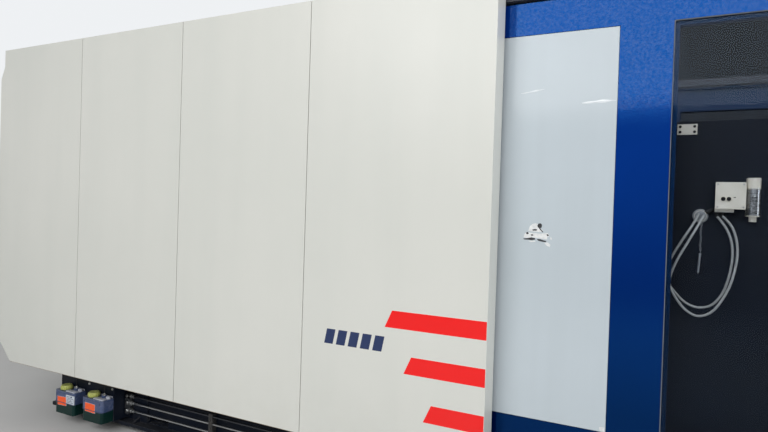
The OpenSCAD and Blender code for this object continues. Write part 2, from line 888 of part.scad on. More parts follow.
module rear_platen() {
    color([0.12, 0.2, 0.42])
        difference() {
            union() {
                box(rb, rf, -pw, pw, zc - ph, zc + ph);
                both_sides()
                    box(rb + 30, rf - 30, way_y0, way_y1, way_top + seat, zc - ph);
                for (z = [zc - pin_dz, zc + pin_dz])
                    ear_pair(ax, z, rf - 1);
                // housings of the mould height nuts, and the gear case
                for (y = [-by, by], z = [zc - bz, zc + bz])
                    rod_x(rb - 150, rb, y, z, 165);
                box(rb - 110, rb, -by, by, zc + bz - 60, zc + bz + 60);
                box(rb - 110, rb, by - 60, by + 60, zc - bz, zc + bz);
                box(rb - 110, rb, -by - 60, -by + 60, zc - bz, zc + bz);
                rod_x(rb - 320, rb - 110, 0, zc + bz, 70, 32);
            }
            bar_holes(rb - 151, rf + 1);
            rod_x(rb - 1, rf + 1, 0, zc, 80);
            both_sides()
                for (z = [zc - pin_dz, zc + pin_dz])
                    rod_y(ax, z, 200, 500, pin_r + slip);
            both_sides()
                box(rb + 70, rf - 70, pw - 60, pw + 1, zc - 420, zc + 420);
        }
}

module clamp_cylinder() {
    color([0.2, 0.28, 0.45])
        difference() {
            union() {
                rod_x(cyl_end, rb, 0, zc, 140);
                rod_x(rb - 60, rb, 0, zc, 220);
                rod_x(cyl_end, cyl_end + 60, 0, zc, 175);
                box(rb - 150, rb - 90, -40, 40, zc + 130, zc + 200);
                box(cyl_end + 70, cyl_end + 130, -40, 40, zc + 130, zc + 200);
            }
            rod_x(cyl_end + 30, rb - 50, 0, zc, 100);
            rod_x(rb - 51, rb + 1, 0, zc, 60 + slip);
            rod_z(rb - 120, 0, zc + 90, zc + 201, 16, 20);
            rod_z(cyl_end + 100, 0, zc + 90, zc + 201, 16, 20);
        }
}

// one main link arm between two pins, in the arm plane
module arm(x0, z0, a, l, from, to) {
    translate([x0, 0, z0])
        rotate([0, -a, 0])
            both_sides()
                box(from, l - to, arm0 + 6, arm1 - 6, -75, 75);
}

module rear_link() {
    // pins at the rear platen and the knee, and the crosshead shaft
    both_sides() {
        rod_y(ax, pin_dz, arm0, arm1, eye_r);
        rod_y(kx, kz, arm0, arm1, eye_r);
        rod_y(dx, dz, arm0, arm1, lug_r);
        rod_y(ax, pin_dz, arm0 - fork - fork_gap - 8, arm1 + fork + fork_gap + 8, pin_r);
        rod_y(kx, kz, arm0 - fork - fork_gap - 8, arm1 + fork + fork_gap + 8, pin_r);
    }
    arm(ax, pin_dz, link_a, link_l, 0, 0);
    both_sides()
        translate([ax, 0, pin_dz])
            rotate([0, -link_a, 0])
                box(cross_l * cos(lug_a) - 70, cross_l * cos(lug_a) + 70, arm0 + 12, arm1 - 12, 0, cross_l * sin(lug_a));
    rod_y(dx, dz, -arm0 - 8, arm0 + 8, cross_r);
}

module front_link() {
    difference() {
        union() {
            both_sides() {
                rod_y(cx, pin_dz, arm0, arm1, eye_r);
                for (y = [arm0 - fork - fork_gap, arm1 + fork_gap])
                    rod_y(kx, kz, y, y + fork, eye_r);
                rod_y(cx, pin_dz, arm0 - fork - fork_gap - 8, arm1 + fork + fork_gap + 8, pin_r);
            }
            arm(kx, kz, -link_a, link_l, 230, 0);
            translate([kx, 0, kz])
                rotate([0, link_a, 0])
                    rod_y(link_l / 2, 0, -arm0 - 12, arm0 + 12, 50);
            translate([kx, 0, kz])
                rotate([0, link_a, 0])
                    both_sides() {
                        box(0, 330, arm0 - fork - fork_gap + 4, arm0 - fork_gap - 4, -82, 82);
                        box(0, 330, arm1 + fork_gap + 4, arm1 + fork + fork_gap - 4, -82, 82);
                        box(222, 310, arm0 - fork_gap - 10, arm1 + fork_gap + 10, -68, 68);
                    }
        }
        both_sides()
            rod_y(kx, kz, 200, 500, pin_r + slip);
    }
}

module cross_link() {
    difference() {
        union() {
            rod_y(dx, dz, -110, 110, lug_r);
            rod_y(ex, pin_dz, -110, 110, lug_r);
            translate([dx, 0, dz])
                rotate([0, link_a + lug_a, 0])
                    box(0, cross_l, -70, 70, -48, 48);
            rod_y(ex, pin_dz, -205, 205, cross_r);
        }
        rod_y(dx, dz, -111, 111, cross_r + slip);
    }
}

module upper_rear_link() {
    color([0.2, 0.3, 0.5])
        flipped(true)
            rear_link();
}

module lower_rear_link() {
    color([0.2, 0.3, 0.5])
        flipped(false)
            rear_link();
}

module upper_front_link() {
    color([0.2, 0.3, 0.5])
        flipped(true)
            front_link();
}

module lower_front_link() {
    color([0.2, 0.3, 0.5])
        flipped(false)
            front_link();
}

module upper_crosshead_link() {
    color([0.35, 0.37, 0.4])
        flipped(true)
            cross_link();
}

module lower_crosshead_link() {
    color([0.35, 0.37, 0.4])
        flipped(false)
            cross_link();
}

module crosshead() {
    color([0.45, 0.46, 0.48])
        difference() {
            union() {
                box(ex - 90, ex + 70, -200, 200, zc - 160, zc + 160);
                for (s = [-1, 1], y = [-200, 120]) {
                    rod_y(ex, zc + s * pin_dz, y, y + 80, 80);
                    box(ex - 80, ex + 70, y, y + 80, min(zc, zc + s * pin_dz), max(zc, zc + s * pin_dz));
                }
                rod_x(rb - 100, ex - 89, 0, zc, 60);
                rod_x(rb - 140, rb - 70, 0, zc, 100 - slip);
            }
            for (z = [zc - pin_dz, zc + pin_dz])
                rod_y(ex, z, -206, 206, cross_r + slip);
        }
}

module moving_platen() {
    top = zc + ph;
    low = zc - ph;
    color([0.12, 0.2, 0.42])
        difference() {
            union() {
                profile_y(-pw, pw, [
                    [mb, low + 25], [mb + 25, low], [mf - 12, low], [mf, low + 12],
                    [mf, top - 12], [mf - 12, top], [mb + 25, top], [mb, top - 25]
                ]);
                both_sides()
                    box(mb + 20, mb + 200, way_y0, way_y1, way_top + seat, low);
                for (z = [zc - pin_dz, zc + pin_dz])
                    ear_pair(cx, z, mb + 1);
            }
            bar_holes(mb - 1, mf + 1);
            // cast pockets in the back, between the bar bosses
            both_sides() {
                for (z = [-370, 20])
                    box(mb - 1, mb + 190, pw - 345, pw - 75, zc + z, zc + z + 350);
                box(mb - 1, mb + 160, 20, 180, zc + 160, zc + 520);
                box(mb - 1, mb + 160, 20, 180, zc - 520, zc - 160);
            }
            mould_holes(mf - 70, mf + 1);
            rod_x(mb - 1, mf + 1, 0, zc, 40 + slip);
            both_sides()
                for (z = [zc - pin_dz, zc + pin_dz])
                    rod_y(cx, z, 200, 500, pin_r + slip);
        }
}

module ejector_cylinder() {
    color([0.35, 0.37, 0.4])
        difference() {
            union() {
                rod_x(mb - 440, mb, 0, zc, 95);
                rod_x(mb - 40, mb, 0, zc, 130);
                rod_x(mb - 440, mb - 400, 0, zc, 110);
            }
            rod_x(mb - 420, mb - 30, 0, zc, 70);
            rod_x(mb - 31, mb + 1, 0, zc, 40 + slip);
            rod_z(mb - 380, 0, zc + 60, zc + 120, 12, 16);
            rod_z(mb - 60, 0, zc + 60, zc + 120, 12, 16);
        }
}

module ejector_rod() {
    color([0.8, 0.81, 0.83]) {
        rod_x(mb - 400, mf - 2, 0, zc, 40);
        rod_x(mb - 400, mb - 350, 0, zc, 70 - slip);
    }
}

module junction_box() {
    // on the moving platen's operator side, seen through the door's window
    color([0.75, 0.76, 0.74]) {
        box(mb + 192, mb + 298, -pw - 66, -pw, zc + 360, zc + 468);
        box(mb + 190, mb + 300, -pw - 70, -pw - 66, zc + 358, zc + 470);
        rod_y(mb + 218, zc + 400, -pw - 78, -pw - 70, 8.5, 20);
        rod_y(mb + 239, zc + 400, -pw - 78, -pw - 70, 8.5, 20);
        // gland block under the box, and the round gland
        box(mb + 190, mb + 260, -pw - 50, -pw - 15, zc + 343, zc + 360);
        rod_y(mb + 137, zc + 325, -pw - 45, -pw, 24, 24);
        // limit switch housing beside it
        soft_box(mb + 305, mb + 355, -pw - 69, -pw, zc + 328, zc + 490, 24);
        rod_z(mb + 330, -pw - 34, zc + 306, zc + 328, 14, 6);
        // plate with four screws
        box(mb + 34, mb + 113, -pw - 10, -pw, zc + 685, zc + 731);
        for (x = [mb + 45, mb + 102], z = [zc + 696, zc + 720])
            rod_y(x, z, -pw - 15, -pw - 10, 5, 14);
    }
}

function unit(v) = v / norm(v);

function slope(p, i) =
    i == 0 ? p[1] - p[0] : i == len(p) - 1 ? p[i] - p[i - 1] : (p[i + 1] - p[i - 1]) / 2;

function spot(p, i, t) =
    (2 * t * t * t - 3 * t * t + 1) * p[i] + (t * t * t - 2 * t * t + t) * slope(p, i)
    + (3 * t * t - 2 * t * t * t) * p[i + 1] + (t * t * t - t * t) * slope(p, i + 1);

function heading(p, i, t) =
    (6 * t * t - 6 * t) * p[i] + (3 * t * t - 4 * t + 1) * slope(p, i)
    + (6 * t - 6 * t * t) * p[i + 1] + (3 * t * t - 2 * t) * slope(p, i + 1);

// the first side direction carried along without twist
function carried(dirs, side, i) =
    i == len(dirs) ? [] :
    let (m = unit(side - (side * dirs[i]) * dirs[i]))
    concat([m], carried(dirs, m, i + 1));

module tube(route, steps, r, sides, side) {
    stops = [for (i = [0 : len(route) - 2], k = [0 : steps - 1]) [i, k / steps]];
    pts = concat([for (q = stops) spot(route, q[0], q[1])], [route[len(route) - 1]]);
    dirs = concat(
        [for (q = stops) unit(heading(route, q[0], q[1]))],
        [unit(route[len(route) - 1] - route[len(route) - 2])]
    );
    m = carried(dirs, side, 0);
    n = len(pts);
    rings = [
        for (i = [0 : n - 1], j = [0 : sides - 1])
            pts[i] + r * (cos(360 * j / sides) * m[i] + sin(360 * j / sides) * cross(dirs[i], m[i]))
    ];
    polyhedron(points = rings, faces = concat(
        [[for (j = [0 : sides - 1]) j]],
        [[for (j = [0 : sides - 1]) n * sides - 1 - j]],
        [for (i = [0 : n - 2], j = [0 : sides - 1]) [i * sides + j, (i + 1) * sides + j, (i + 1) * sides + (j + 1) % sides]],
        [for (i = [0 : n - 2], j = [0 : sides - 1]) [i * sides + j, (i + 1) * sides + (j + 1) % sides, i * sides + (j + 1) % sides]]
    ));
}

module hose_loops() {
    color([0.7, 0.72, 0.72])
        translate([mb, -pw, zc]) {
            tube(hose_a, 3, 5, 8, [0, 0, 1]);
            tube(hose_b, 3, 5, 8, [0, 0, 1]);
        }
}

// injection unit, nozzle drawn back

module injection_carriage() {
    color([0.12, 0.2, 0.42])
        difference() {
            union() {
                box(housing_l, housing_r, -620, 620, rail_top + seat, housing_top);
                both_sides() {
                    box(housing_l - 150, ram_r + 720, 370, 470, rail_top + seat, rail_top + 80);
                    // cylinders that draw the nozzle to the mould
                    rod_x(housing_l - 850, housing_l, 540, draw_z, 60, 32);
                }
                box(ram_r + 650, ram_r + 720, -470, 470, rail_top + seat, rail_top + 105);
            }
            rod_x(housing_l - 1, housing_r + 1, 0, zc, barrel_r + slip);
            rod_z(throat, 0, zc, housing_top + 1, 60, 32);
            both_sides() {
                rod_x(housing_l - 830, housing_l - 20, 540, draw_z, 40);
                rod_x(housing_l - 851, housing_l - 829, 540, draw_z, 28 + slip);
            }
        }
}

module barrel() {
    color([0.5, 0.5, 0.5]) {
        difference() {
            union() {
                rod_x(tip + 350, housing_r + 40, 0, zc, barrel_r, 48);
                rod_x(tip + 350, tip + 440, 0, zc, barrel_r + 45, 48);
                translate([tip, 0, zc])
                    rotate([0, 90, 0])
                        rotate_extrude($fn = 40)
                            polygon([[0, 0], [22, 0], [32, 14], [32, 60], [48, 80], [48, 250], [72, 262], [72, 356], [0, 356]]);
                // bolts of the nozzle head
                for (a = [22.5 : 45 : 359])
                    rod_x(tip + 332, tip + 351, (barrel_r + 12) * cos(a), zc + (barrel_r + 12) * sin(a), 15, 16);
            }
            rod_x(tip + 380, housing_r + 41, 0, zc, screw_r + slip, 40);
            rod_x(tip + 300, tip + 381, 0, zc, 20, 24);
            rod_x(tip - 1, tip + 301, 0, zc, 4, 16);
            rod_z(throat, 0, zc, zc + barrel_r + 1, 50, 32);
        }
    }
}

module heater_bands() {
    color([0.7, 0.66, 0.55])
        for (i = [0 : 7])
            difference() {
                union() {
                    rod_x(tip + 470 + i * 280, tip + 710 + i * 280, 0, zc, barrel_r + 28, 32);
                    box(tip + 540 + i * 280, tip + 640 + i * 280, -35, 35, zc + barrel_r + 10, zc + barrel_r + 62);
                }
                rod_x(tip + 469 + i * 280, tip + 711 + i * 280, 0, zc, barrel_r + slip, 48);
            }
}

module hopper() {
    hb = housing_top;
    shell = rim_z - hopper_low;
    color([0.78, 0.79, 0.8]) {
        difference() {
            box(throat - 150, throat + 150, -150, 150, hb, hb + 110);
            rod_z(throat, 0, hb - 1, hb + 111, 60, 32);
            box(throat - 76, throat + 76, -151, 120, hb + 50, hb + 63);
        }
        translate([throat, 0, hb + 110])
            rotate_extrude($fn = 64)
                polygon([
                    [60, 0], [130, 0], [130, 12], [68, 12], [hopper_r, 640], [hopper_r, shell],
                    [hopper_r - 5, shell], [hopper_r - 5, 642], [60, 6]
                ]);
        // brackets of the lid's hinge
        for (y = [-100, 60])
            difference() {
                union() {
                    box(throat + hopper_r - 12, throat + hopper_r + 20, y, y + 40, rim_z - 60, rim_z);
                    rod_y(throat + hopper_r + 20, rim_z, y, y + 40, 13, 24);
                }
                rod_z(throat, 0, rim_z - 61, rim_z, hopper_r - 3, 64);
                rod_z(throat, 0, rim_z - 1, rim_z + 60, hopper_r + 6, 64);
            }
        both_sides()
            box(throat - 40, throat + 40, 120, 150, hb + 100, hb + 300);
    }
}

module hopper_lid() {
    lz = rim_z;
    color([0.78, 0.79, 0.8]) {
        translate([throat, 0, lz + seat])
            rotate_extrude($fn = 64)
                polygon([
                    [0, 60], [hopper_r - 80, 22], [hopper_r + 4, 22], [hopper_r + 4, 0],
                    [hopper_r - 80, 0], [0, 54]
                ]);
        // hinge knuckle and its strap
        rod_y(throat + hopper_r + 20, lz, -56, 56, 13, 24);
        box(throat + hopper_r - 90, throat + hopper_r + 20, -50, 50, lz + seat + 6, lz + seat + 12);
        // clamp latch opposite the hinge
        box(throat - hopper_r - 16, throat - hopper_r + 30, -25, 25, lz + seat, lz + seat + 26);
        rod_z(throat, 0, lz + 55, hopper_top - 12, 60, 28);
        rod_z(throat, 0, hopper_top - 12, hopper_top, 75, 28);
    }
}

module hopper_gate() {
    color([0.7, 0.71, 0.72]) {
        difference() {
            box(throat - 75, throat + 75, -260, 118, housing_top + 50 + seat, housing_top + 62);
            rod_z(throat, 0, housing_top + 50, housing_top + 63, 60, 32);
        }
        box(throat - 60, throat + 60, -280, -260, housing_top + 40, housing_top + 74);
    }
}

module injection_cylinders() {
    color([0.2, 0.28, 0.45])
        both_sides()
            difference() {
                union() {
                    rod_x(housing_r, housing_r + 760, inj_y, zc, 110);
                    rod_x(housing_r, housing_r + 50, inj_y, zc, 150);
                    rod_x(housing_r + 700, housing_r + 760, inj_y, zc, 130);
                }
                rod_x(housing_r + 30, housing_r + 720, inj_y, zc, 80);
                rod_x(housing_r + 719, housing_r + 761, inj_y, zc, 45 + slip);
                rod_z(housing_r + 90, inj_y, zc + 70, zc + 151, 14, 16);
            }
}

module ram_plate() {
    color([0.12, 0.2, 0.42]) {
        difference() {
            union() {
                box(ram_l, ram_r, -560, 560, rail_top + 80 + seat, zc + 230);
                rod_x(ram_l - 110, ram_l, 0, zc, 160);
            }
            rod_x(ram_l - 111, ram_l + 121, 0, zc, screw_r + slip, 40);
        }
        both_sides() {
            rod_x(housing_r + 60, ram_l, inj_y, zc, 45);
            rod_x(housing_r + 60, housing_r + 100, inj_y, zc, 80 - slip);
        }
        // hydraulic screw motor
        rod_x(ram_r, ram_r + 60, 0, zc, 190);
        rod_x(ram_r + 60, ram_r + 330, 0, zc, 165);
        rod_x(ram_r + 330, ram_r + 420, 0, zc, 110);
        box(ram_r + 120, ram_r + 260, -60, 60, zc + 150, zc + 230);
    }
}

module screw() {
    color([0.75, 0.76, 0.77]) {
        rod_x(tip + 420, housing_r + 40, 0, zc, screw_r, 40);
        rod_x(housing_r + 40, ram_l + 118, 0, zc, screw_r, 40);
        translate([tip + 420, 0, zc])
            rotate([0, -90, 0])
                cylinder(h = 38, r1 = screw_r, r2 = 12, $fn = 40);
    }
}

bed_front_beam();
bed_rear_beam();
bed_cross_members();
slide_ways();
injection_bed();
leveling_pads();
fixed_platen();
tie_bars();
tie_bar_nuts();
front_cover_panel_1();
front_cover_panel_2();
front_cover_panel_3();
front_cover_panel_4();
rear_cover_panels();
cover_frame();
tail_and_top_cover();
door_rails();
fixed_side_covers();
lube_tanks();
lube_heads();
lube_hoses();
bed_pipes();
electric_cabinet();
cabinet_door();
pump_motors();
pumps_and_valves();
injection_guard();
hmi_panel();
hmi_screen();
estop_button();
front_door_frame();
front_door_panel();
front_door_window();
front_door_handle();
rear_door_frame();
rear_door_window();
rear_platen();
clamp_cylinder();
upper_rear_link();
upper_front_link();
lower_rear_link();
lower_front_link();
upper_crosshead_link();
lower_crosshead_link();
crosshead();
moving_platen();
ejector_cylinder();
ejector_rod();
junction_box();
hose_loops();
injection_carriage();
barrel();
heater_bands();
hopper();
hopper_lid();
hopper_gate();
injection_cylinders();
ram_plate();
screw();
purge_guard();
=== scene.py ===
import bpy
import bmesh
import json
import math
from mathutils import Matrix, Vector


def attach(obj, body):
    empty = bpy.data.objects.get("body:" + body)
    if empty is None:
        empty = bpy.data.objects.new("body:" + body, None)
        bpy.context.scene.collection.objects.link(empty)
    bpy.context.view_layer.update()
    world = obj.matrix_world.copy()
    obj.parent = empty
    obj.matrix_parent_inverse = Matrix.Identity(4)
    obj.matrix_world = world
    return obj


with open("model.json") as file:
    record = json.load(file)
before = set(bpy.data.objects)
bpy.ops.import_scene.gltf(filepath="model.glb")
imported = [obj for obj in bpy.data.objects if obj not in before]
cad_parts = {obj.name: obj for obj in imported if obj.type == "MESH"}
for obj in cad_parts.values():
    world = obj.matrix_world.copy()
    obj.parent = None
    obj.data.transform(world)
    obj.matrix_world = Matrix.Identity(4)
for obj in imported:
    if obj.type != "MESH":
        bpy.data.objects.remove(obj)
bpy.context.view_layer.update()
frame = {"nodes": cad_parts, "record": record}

# camera, measured from the photo's seams and corners
cameraSetup = {
    "place": (-1.741, -3.836, 1.614),
    "turnDeg": 27.17,
    "tiltDeg": -0.75,
    "rollDeg": 1.81,
    "lensMm": 27.05,
    "sensorMm": 36.0,
}


def makeCamera(setup):
    turn, tilt, roll = (math.radians(setup[k]) for k in ("turnDeg", "tiltDeg", "rollDeg"))
    ahead = Vector((-math.sin(turn) * math.cos(tilt), math.cos(turn) * math.cos(tilt), math.sin(tilt)))
    side = Vector((math.cos(turn), math.sin(turn), 0.0))
    above = side.cross(ahead)
    right = side * math.cos(roll) + above * math.sin(roll)
    up = above * math.cos(roll) - side * math.sin(roll)
    data = bpy.data.cameras.new("photoCamera")
    data.sensor_width = setup["sensorMm"]
    data.sensor_fit = "HORIZONTAL"
    data.lens = setup["lensMm"]
    data.clip_end = 200.0
    cam = bpy.data.objects.new("photoCamera", data)
    bpy.context.scene.collection.objects.link(cam)
    basis = Matrix((right, up, -ahead)).transposed().to_4x4()
    cam.matrix_world = Matrix.Translation(setup["place"]) @ basis
    bpy.context.scene.camera = cam


makeCamera(cameraSetup)
print("camera placed")


# node helpers

def fillInputs(tree, node, inputs):
    for key, value in inputs.items():
        if isinstance(value, bpy.types.NodeSocket):
            tree.links.new(value, node.inputs[key])
        else:
            node.inputs[key].default_value = value


def putNode(tree, kind, inputs=None, **settings):
    made = tree.nodes.new(kind)
    for key, value in settings.items():
        setattr(made, key, value)
    fillInputs(tree, made, inputs or {})
    return made


def mathNode(tree, how, a, b=0.0, clamp=False):
    return putNode(tree, "ShaderNodeMath", {0: a, 1: b}, operation=how, use_clamp=clamp).outputs[0]


def product(tree, *factors, clamp=False):
    out = factors[0]
    for factor in factors[1:]:
        out = mathNode(tree, "MULTIPLY", out, factor, clamp=clamp)
    return out


def between(tree, value, low, high):
    return product(tree, mathNode(tree, "GREATER_THAN", value, low), mathNode(tree, "LESS_THAN", value, high))


def mixColour(tree, amount, a, b):
    return putNode(tree, "ShaderNodeMix", {0: amount, 6: a, 7: b}, data_type="RGBA").outputs[2]


def rangeNode(tree, value, low, high, toLow=0.0, toHigh=1.0):
    return putNode(tree, "ShaderNodeMapRange", {0: value, 1: low, 2: high, 3: toLow, 4: toHigh}).outputs[0]


def noiseNode(tree, vector, scale, detail, rough=0.5):
    return putNode(tree, "ShaderNodeTexNoise", {
        "Vector": vector, "Scale": scale, "Detail": detail, "Roughness": rough}).outputs[0]


def axesOf(tree, vector):
    return putNode(tree, "ShaderNodeSeparateXYZ", {0: vector}).outputs


def faceNormal(tree):
    return putNode(tree, "ShaderNodeNewGeometry").outputs["Normal"]


def newGroup(name, inputs, outputs):
    # every group takes a Vector; the kind of each other socket follows from its value
    tree = bpy.data.node_groups.new(name, "ShaderNodeTree")
    tree.interface.new_socket(name="Vector", in_out="INPUT", socket_type="NodeSocketVector")
    for label, value in inputs.items():
        kind = "Float" if isinstance(value, float) else {3: "Vector", 4: "Color"}[len(value)]
        socket = tree.interface.new_socket(name=label, in_out="INPUT", socket_type="NodeSocket" + kind)
        socket.default_value = value
    for label in outputs:
        kind = "Color" if label == "Colour" else "Float"
        tree.interface.new_socket(name=label, in_out="OUTPUT", socket_type="NodeSocket" + kind)
    return tree, tree.nodes.new("NodeGroupInput").outputs, tree.nodes.new("NodeGroupOutput")


def makeOrangePeel():
    tree, given, result = newGroup("orangePeel", {"Density": 220.0, "Soft Share": 0.35}, ["Height"])
    fine = noiseNode(tree, given["Vector"], given["Density"], 1.5)
    wide = noiseNode(tree, given["Vector"], product(tree, given["Density"], 0.21), 1.0)
    soft = product(tree, wide, given["Soft Share"])
    fillInputs(tree, result, {"Height": mathNode(tree, "ADD", fine, soft)})
    return tree


def makeMottle():
    tree, given, result = newGroup("paintMottle", {
        "Colour": (0.5, 0.5, 0.5, 1.0), "Second": (0.4, 0.4, 0.4, 1.0), "Patches": 2.0, "Amount": 0.5,
    }, ["Colour", "Mask"])
    mask = rangeNode(tree, noiseNode(tree, given["Vector"], given["Patches"], 5.0, 0.55), 0.35, 0.68)
    share = product(tree, mask, given["Amount"], clamp=True)
    fillInputs(tree, result, {"Colour": mixColour(tree, share, given["Colour"], given["Second"]), "Mask": mask})
    return tree


def makeStreaks():
    tree, given, result = newGroup("hangingStreaks", {"Across": 9.0, "Down": 0.5, "Sharpness": 0.5}, ["Mask"])
    parts = axesOf(tree, given["Vector"])
    across = mathNode(tree, "ADD", parts[0], product(tree, parts[1], 0.83))
    stretched = putNode(tree, "ShaderNodeCombineXYZ", {
        0: product(tree, across, given["Across"]), 2: product(tree, parts[2], given["Down"])}).outputs[0]
    low = rangeNode(tree, given["Sharpness"], 0.0, 1.0, 0.3, 0.55)
    fillInputs(tree, result, {"Mask": rangeNode(tree, noiseNode(tree, stretched, 1.0, 4.0), low, 0.75)})
    return tree


def makeEdgeWear():
    tree, given, result = newGroup("edgeWear", {"Radius": 0.006, "Amount": 0.5, "Breakup": 30.0}, ["Mask"])
    rounded = putNode(tree, "ShaderNodeBevel", {"Radius": given["Radius"]}, samples=3).outputs[0]
    dot = putNode(tree, "ShaderNodeVectorMath", {0: rounded, 1: faceNormal(tree)}, operation="DOT_PRODUCT")
    edge = rangeNode(tree, dot.outputs["Value"], 0.995, 0.86)
    broken = rangeNode(tree, noiseNode(tree, given["Vector"], given["Breakup"], 3.0), 0.42, 0.62)
    fillInputs(tree, result, {"Mask": product(tree, edge, broken, given["Amount"], clamp=True)})
    return tree


def makeDustFall():
    tree, given, result = newGroup("settledDust", {"Amount": 0.4, "Patches": 7.0}, ["Mask"])
    facing = rangeNode(tree, axesOf(tree, faceNormal(tree))[2], 0.55, 0.98)
    patchy = rangeNode(tree, noiseNode(tree, given["Vector"], given["Patches"], 6.0, 0.6), 0.3, 0.7, 0.35, 1.0)
    fillInputs(tree, result, {"Mask": product(tree, facing, patchy, given["Amount"], clamp=True)})
    return tree


def makeLowGrime():
    tree, given, result = newGroup("lowGrime", {"Clean Height": 0.9, "Dirty Height": 0.3, "Amount": 0.3}, ["Mask"])
    drop = rangeNode(tree, axesOf(tree, given["Vector"])[2], given["Clean Height"], given["Dirty Height"])
    patchy = rangeNode(tree, noiseNode(tree, given["Vector"], 6.0, 7.0, 0.65), 0.38, 0.66)
    fillInputs(tree, result, {"Mask": product(tree, drop, patchy, given["Amount"], clamp=True)})
    return tree


def makeBrushed():
    tree, given, result = newGroup("brushedGrain", {"Stretch": (4.0, 400.0, 400.0)}, ["Height", "Mask"])
    scaled = putNode(tree, "ShaderNodeVectorMath", {0: given["Vector"], 1: given["Stretch"]}, operation="MULTIPLY")
    stain = rangeNode(tree, noiseNode(tree, given["Vector"], 5.0, 6.0), 0.4, 0.7)
    fillInputs(tree, result, {"Height": noiseNode(tree, scaled.outputs[0], 1.0, 3.0), "Mask": stain})
    return tree


def makeCastSkin():
    tree, given, result = newGroup("castSkin", {"Grain": 90.0}, ["Height"])
    pits = putNode(tree, "ShaderNodeTexVoronoi", {"Vector": given["Vector"], "Scale": given["Grain"]}).outputs[0]
    cloud = noiseNode(tree, given["Vector"], product(tree, given["Grain"], 0.3), 5.0)
    fillInputs(tree, result, {"Height": mathNode(tree, "ADD", product(tree, pits, 0.4), cloud)})
    return tree


def makeSlantedBar():
    # a band across the panel with slanted ends, cut at the fold
    tree, given, result = newGroup("slantedBar", {
        "Left": 0.0, "Right": 1.0, "Low": 0.0, "High": 1.0, "Slant": 0.0, "Fold": 1000.0}, ["Mask"])
    parts = axesOf(tree, given["Vector"])
    lean = product(tree, mathNode(tree, "SUBTRACT", parts[2], given["Low"]), given["Slant"])
    along = mathNode(tree, "SUBTRACT", parts[0], lean)
    kept = mathNode(tree, "LESS_THAN", parts[0], given["Fold"])
    fillInputs(tree, result, {"Mask": product(
        tree, between(tree, along, given["Left"], given["Right"]),
        between(tree, parts[2], given["Low"], given["High"]), kept)})
    return tree


def makeInnerMist():
    # painted shade on what faces the mould space: inner sides of the doors and the walls of their windows
    tree, given, result = newGroup("innerMist", {
        "Amount": 0.8, "Left": -1.0, "Right": 1.0, "Low": 0.0, "High": 1.0, "Skin": 1.0}, ["Mask"])
    facing = axesOf(tree, faceNormal(tree))
    parts = axesOf(tree, given["Vector"])
    inward = mathNode(tree, "LESS_THAN", product(tree, facing[1], parts[1]), -0.4)
    wall = product(
        tree, mathNode(tree, "LESS_THAN", mathNode(tree, "ABSOLUTE", parts[1]), given["Skin"]),
        between(tree, parts[0], given["Left"], given["Right"]), between(tree, parts[2], given["Low"], given["High"]))
    either = mathNode(tree, "MAXIMUM", inward, wall)
    fillInputs(tree, result, {"Mask": product(tree, either, given["Amount"], clamp=True)})
    return tree


groups = {
    "peel": makeOrangePeel(), "mottle": makeMottle(), "streaks": makeStreaks(), "wear": makeEdgeWear(),
    "dust": makeDustFall(), "grime": makeLowGrime(), "brushed": makeBrushed(), "cast": makeCastSkin(),
    "bar": makeSlantedBar(), "mist": makeInnerMist(),
}
print("node groups made:", len(groups))


def useGroup(tree, where, key, inputs):
    made = putNode(tree, "ShaderNodeGroup", node_tree=groups[key])
    fillInputs(tree, made, dict(inputs, Vector=where))
    return made.outputs


def rgba(colour):
    return (colour[0], colour[1], colour[2], 1.0)


def newMaterial(name):
    mat = bpy.data.materials.new(name)
    mat.use_nodes = True
    tree = mat.node_tree
    where = tree.nodes.new("ShaderNodeTexCoord").outputs["Object"]
    return mat, tree, tree.nodes["Principled BSDF"], where


def mottled(tree, where, colour, second, patches, amount):
    return useGroup(tree, where, "mottle", {
        "Colour": rgba(colour), "Second": rgba(second), "Patches": patches, "Amount": amount})


def bumpFrom(tree, height, strength, distance):
    return putNode(tree, "ShaderNodeBump", {"Strength": strength, "Distance": distance, "Height": height}).outputs[0]


def barMask(tree, where, bar, fold):
    return useGroup(tree, where, "bar", dict(zip(("Left", "Right", "Low", "High", "Slant"), bar), Fold=fold))["Mask"]


# values that a paint may leave out
paintDefaults = {
    "roughSpread": 0.06, "streakAcross": 9.0, "streakDown": 0.5, "grimeReach": 0.6, "grimeColour": (0.12, 0.1, 0.08),
    "dustColour": (0.34, 0.32, 0.28), "dustDull": 0.4, "wearRadius": 0.006, "wearColour": (0.3, 0.29, 0.28),
    "mistDull": 0.6, "coatRough": 0.08, "speckleFade": 0.1, "depth": 0.001, "specular": 0.5, "tint": (1.0, 1.0, 1.0),
}


